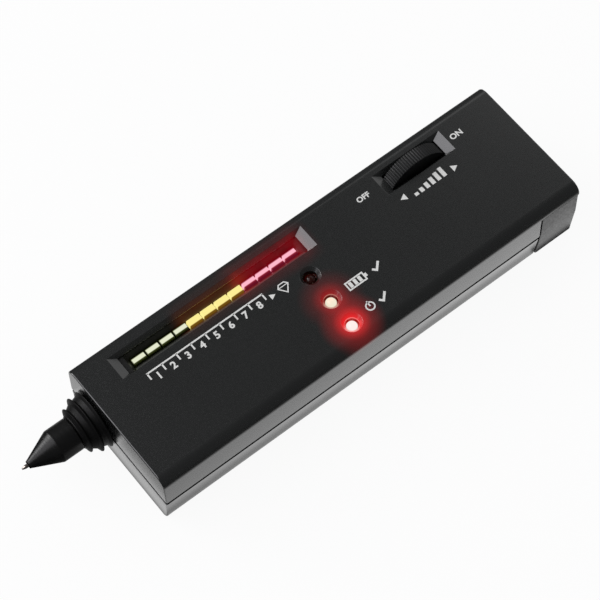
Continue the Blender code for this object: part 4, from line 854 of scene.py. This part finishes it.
# Probe, inside: insulating sleeve, brass heater, wire spring and end plug, from which three fine
# wires run to the board. The needle is soldered into the heater.
sleeve_plastic = surface(
    "sleeve_plastic", (0.62, 0.59, 0.50), (0.75, 0.72, 0.62), (0.4, 0.55), 2600, 0.00001
)
heater_brass = surface(
    "heater_brass", (0.50, 0.33, 0.11), (0.70, 0.48, 0.18), (0.24, 0.38), 5200, 0.000006,
    metal=1.0, patches=700, stretch=(1, 0.05, 0.05),
)
plug_plastic = surface(
    "plug_plastic", (0.04, 0.04, 0.04), (0.06, 0.06, 0.06), (0.42, 0.55), 2600, 0.00001
)
red_wire = wire_sleeve("red_wire", (0.42, 0.018, 0.016), (0.60, 0.03, 0.03))
black_wire = wire_sleeve("black_wire", (0.006, 0.006, 0.006), (0.012, 0.012, 0.012))
white_wire = wire_sleeve("white_wire", (0.58, 0.58, 0.54), (0.70, 0.70, 0.66))
for node_name, material in (
    ("guide_tube", sleeve_plastic),
    ("heater_block", heater_brass),
    ("probe_end_plug", plug_plastic),
    ("ground_lead", black_wire),
    ("heater_lead", red_wire),
    ("sensor_lead", white_wire),
):
    dress(node_name, material)
spring_steel = surface(
    "spring_steel", (0.46, 0.46, 0.44), (0.62, 0.62, 0.60), (0.24, 0.36), 5200, 0.000004,
    metal=1.0, patches=600,
)
spring = set_piece(
    "probe_spring_coil", merged_form("probe_spring"), spring_steel, "spring_steel", "case",
    "probe_spring",
)
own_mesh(spring)
needle_low, needle_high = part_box("probe_needle")
needle_radius = (needle_high.y - needle_low.y) / 2
needle_length = needle_high.x - needle_low.x
probe_y = (needle_low.y + needle_high.y) / 2
probe_z = (needle_low.z + needle_high.z) / 2
needle_metal = surface(
    "needle_metal", (0.50, 0.44, 0.40), (0.72, 0.66, 0.61), (0.16, 0.30), 5200, 0.000003,
    metal=1.0, patches=900, stretch=(1, 0.05, 0.05),
)
needle_form = lathe(
    [
        (0, 0),
        (0.00002, needle_radius * 0.28),
        (0.00012, needle_radius * 0.48),
        (0.00090, needle_radius * 0.94),
        (0.00104, needle_radius),
        (needle_length - 0.00008, needle_radius),
        (needle_length, needle_radius * 0.85),
        (needle_length, 0),
    ],
    (needle_low.x, probe_y, probe_z),
    (1, 0, 0),
    48,
)
set_piece("probe_needle_pin", needle_form, needle_metal, "needle_metal", "probe", "probe_needle")

# Collar: black moulded cone with three ridges, clamped by its flange between the two halves of the
# case. The turned nose cone screws into its mouth.
collar_plastic = surface(
    "probe_collar_plastic", (0.0035, 0.0035, 0.0035), (0.0060, 0.0060, 0.0060), (0.42, 0.55), 3400,
    0.000006,
)
collar_plastic.node_tree.nodes["Principled BSDF"].inputs["Specular IOR Level"].default_value = 0.3
collar_length = case_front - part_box("nose_collar")[0].x
mouth_radius = 0.0047
root_radius = 0.0070
thread_radius = 0.0037
thread_depth = 0.0033
bore_radius = 0.0022
neck_radius = 0.0062
collar_flange_radius = 0.0079
flange_front = -0.0019
flange_back = -0.0034
ridge_start = 0.0003
valley_fill = 0.42
collar_profile = [(collar_length, thread_radius), (collar_length, mouth_radius)]
for crest, crest_radius, front_fill in (
    (0.0055, 0.00630, 0.0),
    (0.00305, 0.00775, valley_fill),
    (0.0006, 0.00800, valley_fill),
):
    for shift, fill in (
        (0.0006, front_fill), (0.00012, 0.94), (0, 1), (-0.00012, 0.94), (-0.0006, valley_fill)
    ):
        reach = max(crest + shift, ridge_start)
        root = mouth_radius + (root_radius - mouth_radius) * (1 - reach / collar_length)
        collar_profile.append((reach, root + (crest_radius - root) * fill))
collar_profile += [
    (ridge_start, neck_radius),
    (flange_front, neck_radius),
    (flange_front, collar_flange_radius),
    (flange_back, collar_flange_radius),
    (flange_back, bore_radius),
    (collar_length - thread_depth, bore_radius),
    (collar_length - thread_depth, thread_radius),
]
probe_foot = (case_front, probe_y, probe_z)
collar_form = lathe(collar_profile, probe_foot, (-1, 0, 0), 96, closed=True)
soften(collar_form, 0.00010, 2, lambda co: co.x < case_front - 0.0004)
set_piece(
    "nose_collar_ridged", collar_form, collar_plastic, "probe_collar_plastic", "case",
    "nose_collar",
)

# Nose cone: turned and black-coated metal with fine tool rings, bored for the needle, which slides
# in it.
cone_coat = surface(
    "probe_cone", (0.0040, 0.0040, 0.0040), (0.0070, 0.0070, 0.0070), (0.28, 0.38), 6000, 0.000004,
    patches=300, stretch=(1, 0.03, 0.03),
)
cone_front = case_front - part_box("nose_cone")[0].x
cone_height = 0.0078
cone_radius = 0.0045
cone_back = collar_length + 0.0003
spigot_radius = 0.0034
spigot_end = collar_length - 0.0027
needle_hole = 0.0008
hole_depth = 0.00555
cone_form = lathe(
    [
        (cone_front - 0.00010, needle_hole),
        (cone_front, needle_hole + 0.0001),
        (cone_front, needle_hole + 0.0002),
        (cone_front - cone_height, cone_radius),
        (cone_back, cone_radius),
        (cone_back, spigot_radius),
        (spigot_end, spigot_radius),
        (spigot_end, bore_radius),
        (cone_front - hole_depth, bore_radius),
        (cone_front - hole_depth, needle_hole),
    ],
    probe_foot,
    (-1, 0, 0),
    96,
    closed=True,
)
soften(cone_form, 0.00018, 3, lambda co: co.x < case_front - collar_length - 0.0002, angle=20)
set_piece("nose_cone_turned", cone_form, cone_coat, "probe_cone", "case", "nose_cone")

# Battery: a 9 V block in a plain printed metal jacket with crimped ends, two terminals and a
# moulded snap with two leads. A foam pad above keeps it from rattling.
battery_low, battery_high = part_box("battery")
bare_end = 0.0034
band_start = 0.0300
rear_crimp = 0.0010
jacket = surface(
    "battery_jacket", (0.20, 0.21, 0.23), (0.30, 0.31, 0.33), (0.22, 0.36), 1500, 0.000006,
    metal=0.9,
)
tree = jacket.node_tree
x, y, z = sides_of(tree, own_place(tree))
front_end = reckon(tree, "LESS_THAN", x, battery_low.x + bare_end)
past_start = reckon(tree, "GREATER_THAN", x, battery_low.x + band_start)
before_end = reckon(tree, "LESS_THAN", x, battery_high.x - rear_crimp)
recolour(jacket, (0.030, 0.032, 0.038), product(tree, past_start, before_end))
recolour(jacket, (0.52, 0.52, 0.50), front_end)
set_softened("battery_block", "battery", jacket, "battery_jacket", 0.00025, 3)
snap_plastic = surface(
    "snap_plastic", (0.016, 0.016, 0.016), (0.03, 0.03, 0.03), (0.4, 0.52), 3000, 0.00001
)
set_softened("battery_snap_bar", "battery_snap", snap_plastic, "snap_plastic", 0.00020, 2)
# These two closed-in leads take the finishes of the red and black wire sleeves.
dress("red_lead", bpy.data.materials["red_wire"])
dress("black_lead", bpy.data.materials["black_wire"])
foam = surface(
    "foam", (0.05, 0.05, 0.05), (0.11, 0.11, 0.11), (0.85, 0.98), 2200, 0.00012, patches=1400
)
dress("battery_pad", foam)

# Top half of the case: the same black ABS, with the sloped frames of the two windows and the three
# countersunk holes. The lights' glow on its walls is painted on as emission.
top_plastic = surface("case_top_plastic", *black_abs)
polish(top_plastic)
wear_edges(top_plastic, cad_low, (cad_high.x, cad_high.y, case_top))
# Painted glow of the lights on the window walls.
paint_light_spill(top_plastic, case_top - 0.00004)
# Painted red halo round the lit lamps on the top face, given as emission.
paint_lamp_halo(top_plastic, case_top - 0.0042)
# The window's near wall is matt, so that it doesn't mirror the row of lights.
near_wall_offset = 0.0030
matt_roughness = 0.85
tree = top_plastic.node_tree
shader = tree.nodes["Principled BSDF"]
x, y, z = sides_of(tree, own_place(tree))
row_middle = (row_low.x + row_high.x) / 2
row_half = (row_high.x - row_low.x) / 2
matt_wall = product(
    tree,
    reckon(tree, "COMPARE", x, row_middle, row_half + 0.0006),
    reckon(tree, "COMPARE", y, row_y - near_wall_offset, 0.0008),
    reckon(tree, "LESS_THAN", z, case_top - 0.00002),
)
dulled = reckon(tree, "MULTIPLY", matt_wall, matt_roughness)
rough_before = shader.inputs["Roughness"].links[0].from_socket
feed(tree, shader, "Roughness", reckon(tree, "MAXIMUM", dulled, rough_before))
feed(tree, shader, "Coat Weight", reckon(tree, "SUBTRACT", 1, matt_wall))


def at_window(co):
    """Whether a place lies on the rims of the windows and the lamp holes."""
    inside = abs(co.y) < 0.0170 and case_front + 0.001 < co.x < case_high.x - 0.002
    return inside and co.z > case_top - 0.0014


def at_front(co):
    """Whether a place lies on the top edge of the front wall."""
    return co.z > case_top - 0.0032 and co.x < case_front + 0.00001


window_rounding, front_rounding = 0.00005, 0.00040
upper_form = merged_form("upper_shell")
soften(upper_form, window_rounding, 2, at_window)
soften(upper_form, front_rounding, 3, at_front)
soften(upper_form, seam_rounding, 2, at_seam, 60)
set_piece("upper_shell_moulding", upper_form, top_plastic, "case_plastic", "case", "upper_shell")

# Battery cover: the cap of the battery end, in the case's plastic but from a coarser mould, with
# two tongues that slide in beside the walls.
cover_plastic = surface(
    "battery_cover_plastic", (0.0060, 0.0064, 0.0064), (0.0110, 0.0116, 0.0116), (0.34, 0.46), 1700,
    0.000020,
)
polish(cover_plastic)
cover_plastic.node_tree.nodes["Principled BSDF"].inputs["Coat Weight"].default_value = 0.12
wear_edges(cover_plastic, cad_low, cad_high)
cover_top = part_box("battery_cover")[1].z
cover_rise = 0.0002
cover_rounding = 0.00022
cover_form = merged_form("battery_cover")
for corner in cover_form.verts:
    if corner.co.z > cover_top - 0.0001:
        corner.co.z += cover_rise
soften(cover_form, cover_rounding, 3, lambda co: co.z < cover_top - 0.0004)
set_piece("battery_cover_cap", cover_form, cover_plastic, "case_plastic", "cover", "battery_cover")

# Printed marks: off-white ink on the top face. A scale of eight fields beside the light row, OFF
# and ON at the wheel with two arrowheads and rising bars, and plain signs beside the lamps.
ink = surface(
    "print_ink", (0.70, 0.70, 0.68), (0.84, 0.84, 0.81), (0.42, 0.56), 4200, 0.000006, patches=240
)
ink_height = 0.00003


def behind(distance):
    """X of a place that lies this far behind the front wall's outer face."""
    return case_front + distance


def print_bar(form, start, end, y_low, y_high):
    """Adds a printed bar to a form, from its ends and its two sides."""
    made = bmesh.ops.create_cube(form, size=1)["verts"]
    bmesh.ops.scale(form, vec=(end - start, y_high - y_low, 2 * ink_height), verts=made)
    bmesh.ops.translate(
        form, vec=((start + end) / 2, (y_low + y_high) / 2, case_top), verts=made
    )


def flat_face(form, corners):
    return form.faces.new([form.verts.new((x, y, case_top - ink_height)) for x, y in corners])


def raise_ink(form, faces):
    """Gives flat faces the thickness of the ink."""
    raised = bmesh.ops.extrude_face_region(form, geom=faces, use_keep_orig=True)["geom"]
    tops = [item for item in raised if isinstance(item, bmesh.types.BMVert)]
    bmesh.ops.translate(form, vec=(0, 0, 2 * ink_height), verts=tops)


def print_patch(form, corners):
    """Adds a filled printed patch through corners."""
    raise_ink(form, [flat_face(form, corners)])


def print_arrowhead(form, tip_x, tip_y, length, half_width):
    """Adds a filled arrowhead, which points to the front where its length is negative."""
    foot_x = tip_x - length
    print_patch(
        form, [(tip_x, tip_y), (foot_x, tip_y + half_width), (foot_x, tip_y - half_width)]
    )


def print_outline(form, corners, width):
    """Adds a closed printed line through corners."""
    face = flat_face(form, corners)
    face.normal_update()
    if face.normal.z < 0:
        face.normal_flip()
    rim = set(face.verts)
    bmesh.ops.inset_region(
        form, faces=[face], thickness=width, use_boundary=True, use_even_offset=True
    )
    ring = [near for near in form.faces if near is not face and rim & set(near.verts)]
    bmesh.ops.delete(form, geom=[face], context="FACES_ONLY")
    raise_ink(form, ring)


def print_words(form, words, x, y, height, narrow=1.0):
    """Adds printed letters or figures to a form, centred on a place."""
    curve = bpy.data.curves.new("letters", "FONT")
    curve.body = words
    curve.align_x = "CENTER"
    curve.size = 1
    curve.offset = 0.032
    curve.extrude = 0.5
    curve.resolution_u = 4
    holder = bpy.data.objects.new("letters", curve)
    bpy.context.scene.collection.objects.link(holder)
    letters = bpy.data.meshes.new_from_object(
        holder.evaluated_get(bpy.context.evaluated_depsgraph_get())
    )
    bpy.data.objects.remove(holder)
    bpy.data.curves.remove(curve)
    scale = height / max(corner.co.y for corner in letters.vertices)
    letters.transform(
        Matrix.Translation((x, y - height / 2, case_top))
        @ Matrix.Diagonal((scale * narrow, scale, 2 * ink_height, 1))
    )
    form.from_mesh(letters)
    bpy.data.meshes.remove(letters)


def print_piece(name, form):
    """Makes a form of printed marks a piece on the case."""
    bmesh.ops.remove_doubles(form, verts=form.verts, dist=0.0000005)
    bmesh.ops.recalc_face_normals(form, faces=form.faces)
    set_piece(name, form, ink, "pot_shaft", "case", sharp=20)


scale_start = behind(0.0142)
scale_pitch = 0.00435
scale_y = 0.00625
tick_length = 0.0019
half_line = 0.00021
figure_y = 0.00425
figure_height = 0.0020
marks = bmesh.new()
print_bar(
    marks, scale_start - half_line, scale_start + 8 * scale_pitch + half_line,
    scale_y - half_line, scale_y + half_line,
)
for tick in range(9):
    x = scale_start + tick * scale_pitch
    print_bar(marks, x - half_line, x + half_line, scale_y - tick_length, scale_y)
print_piece("scale_lines", marks)
marks = bmesh.new()
for figure in range(8):
    x = scale_start + (figure + 0.5) * scale_pitch
    print_words(marks, str(figure + 1), x, figure_y, figure_height)
print_piece("scale_figures", marks)

marks = bmesh.new()
print_arrowhead(marks, behind(0.0517), 0.0042, 0.0015, 0.0008)
gem_x = behind(0.0545)
print_outline(
    marks,
    [
        (gem_x - 0.0017, 0.0048), (gem_x - 0.0009, 0.0058), (gem_x + 0.0009, 0.0058),
        (gem_x + 0.0017, 0.0048), (gem_x, 0.0025),
    ],
    0.00030,
)
print_bar(marks, gem_x - 0.0013, gem_x + 0.0013, 0.00470, 0.00492)
print_piece("stone_sign", marks)


def print_tick(form, x, y, size):
    """Adds a plain check mark, its corner at a place."""
    corners = (
        (-0.42, 0.30), (-0.24, 0.46), (0.02, 0.20), (0.62, 0.86), (0.80, 0.68), (0.02, -0.14)
    )
    print_patch(form, [(x + right * size, y + up * size) for right, up in corners])


sign_x = behind(0.0665)
cell_end = sign_x + 0.0056
cell_low, cell_high = -0.0066, -0.0040
knob_inset, bar_inset = 0.0008, 0.0005
tick_size = 0.0025
marks = bmesh.new()
print_outline(
    marks,
    [(sign_x, cell_low), (cell_end, cell_low), (cell_end, cell_high), (sign_x, cell_high)],
    0.00040,
)
print_bar(marks, cell_end, cell_end + 0.0006, cell_low + knob_inset, cell_high - knob_inset)
for bar in range(3):
    x = sign_x + 0.0008 + bar * 0.0014
    print_bar(marks, x, x + 0.0009, cell_low + bar_inset, cell_high - bar_inset)
print_tick(marks, sign_x + 0.0088, cell_low + bar_inset, tick_size)
print_piece("battery_sign", marks)

ring_radius = 0.0013
ring_y = -0.0128
ring_steps = 24
marks = bmesh.new()
print_outline(
    marks,
    [
        (
            sign_x + ring_radius + ring_radius * math.cos(step / ring_steps * math.tau),
            ring_y + ring_radius * math.sin(step / ring_steps * math.tau),
        )
        for step in range(ring_steps)
    ],
    0.00038,
)
print_bar(marks, sign_x + 0.0011, sign_x + 0.0015, ring_y, ring_y + 0.0016)
print_tick(marks, sign_x + 0.0048, ring_y - 0.0009, tick_size)
print_piece("ready_sign", marks)

marks = bmesh.new()
print_words(marks, "OFF", behind(0.0856), 0.0122, 0.0015, 1.05)
print_words(marks, "ON", behind(0.1156), 0.0119, 0.0016, 1.05)
print_piece("switch_words", marks)
marks = bmesh.new()
print_arrowhead(marks, behind(0.0925), 0.0057, -0.0017, 0.0010)
print_arrowhead(marks, behind(0.1100), 0.0047, 0.0017, 0.0010)
bar_pitch, bar_width, bar_rise = 0.0018, 0.0011, 0.00042
bars_foot, first_top = 0.0041, 0.0050
for bar in range(6):
    x = behind(0.0962 + bar * bar_pitch)
    print_bar(marks, x, x + bar_width, bars_foot, first_top + bar * bar_rise)
print_piece("level_sign", marks)

# Case screws: four zinc-plated pan heads with a cross recess, turned into the posts from below.
head_radius = 0.0020
head_height = 0.0013
head_dome = 0.00045
recess_width = 0.00050
recess_length = 0.0022
recess_depth = 0.0007
recess_taper = 0.82
for number in range(1, 5):
    node_name = f"case_screw_{number}"
    low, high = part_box(node_name)
    foot = Vector(((low.x + high.x) / 2, (low.y + high.y) / 2, low.z))
    shank_radius = max(
        (Vector((corner.co.x, corner.co.y)) - foot.xy).length
        for corner in nodes[node_name].data.vertices
        if corner.co.z > high.z - 0.0002
    )
    length = high.z - low.z
    screw_form = lathe(
        [
            (0, 0),
            (0, recess_length / 2 + 0.0001),
            (head_dome * 0.35, head_radius * 0.80),
            (head_dome, head_radius * 0.96),
            (head_dome * 1.6, head_radius),
            (head_height, head_radius),
            (head_height, shank_radius),
            (length, shank_radius),
            (length, 0),
        ],
        foot,
        (0, 0, 1),
        48,
    )
    for side in (Vector((1, 0, 0)), Vector((0, 1, 0))):
        for reach in (-recess_length / 2, -recess_width / 2, recess_width / 2, recess_length / 2):
            bottom = [
                face for face in screw_form.faces if face.calc_center_median().z < low.z + 0.00001
            ]
            rim = {edge for face in bottom for edge in face.edges}
            points = {corner for face in bottom for corner in face.verts}
            bmesh.ops.bisect_plane(
                screw_form,
                geom=list(points) + list(rim) + bottom,
                plane_co=foot + side * reach,
                plane_no=side,
            )
    recess = []
    for face in screw_form.faces:
        centre = face.calc_center_median() - foot
        across, along = sorted((abs(centre.x), abs(centre.y)))
        if centre.z < 0.00001 and across < recess_width / 2 and along < recess_length / 2:
            recess.append(face)
    sunk = bmesh.ops.extrude_face_region(screw_form, geom=recess)["geom"]
    bmesh.ops.delete(screw_form, geom=recess, context="FACES")
    for corner in (item for item in sunk if isinstance(item, bmesh.types.BMVert)):
        aside = (corner.co - foot).xy * recess_taper
        corner.co.x = foot.x + aside.x
        corner.co.y = foot.y + aside.y
        corner.co.z += recess_depth
    bmesh.ops.recalc_face_normals(screw_form, faces=screw_form.faces)
    set_piece(f"{node_name}_head", screw_form, plated_steel, "screw_steel", "case", node_name)
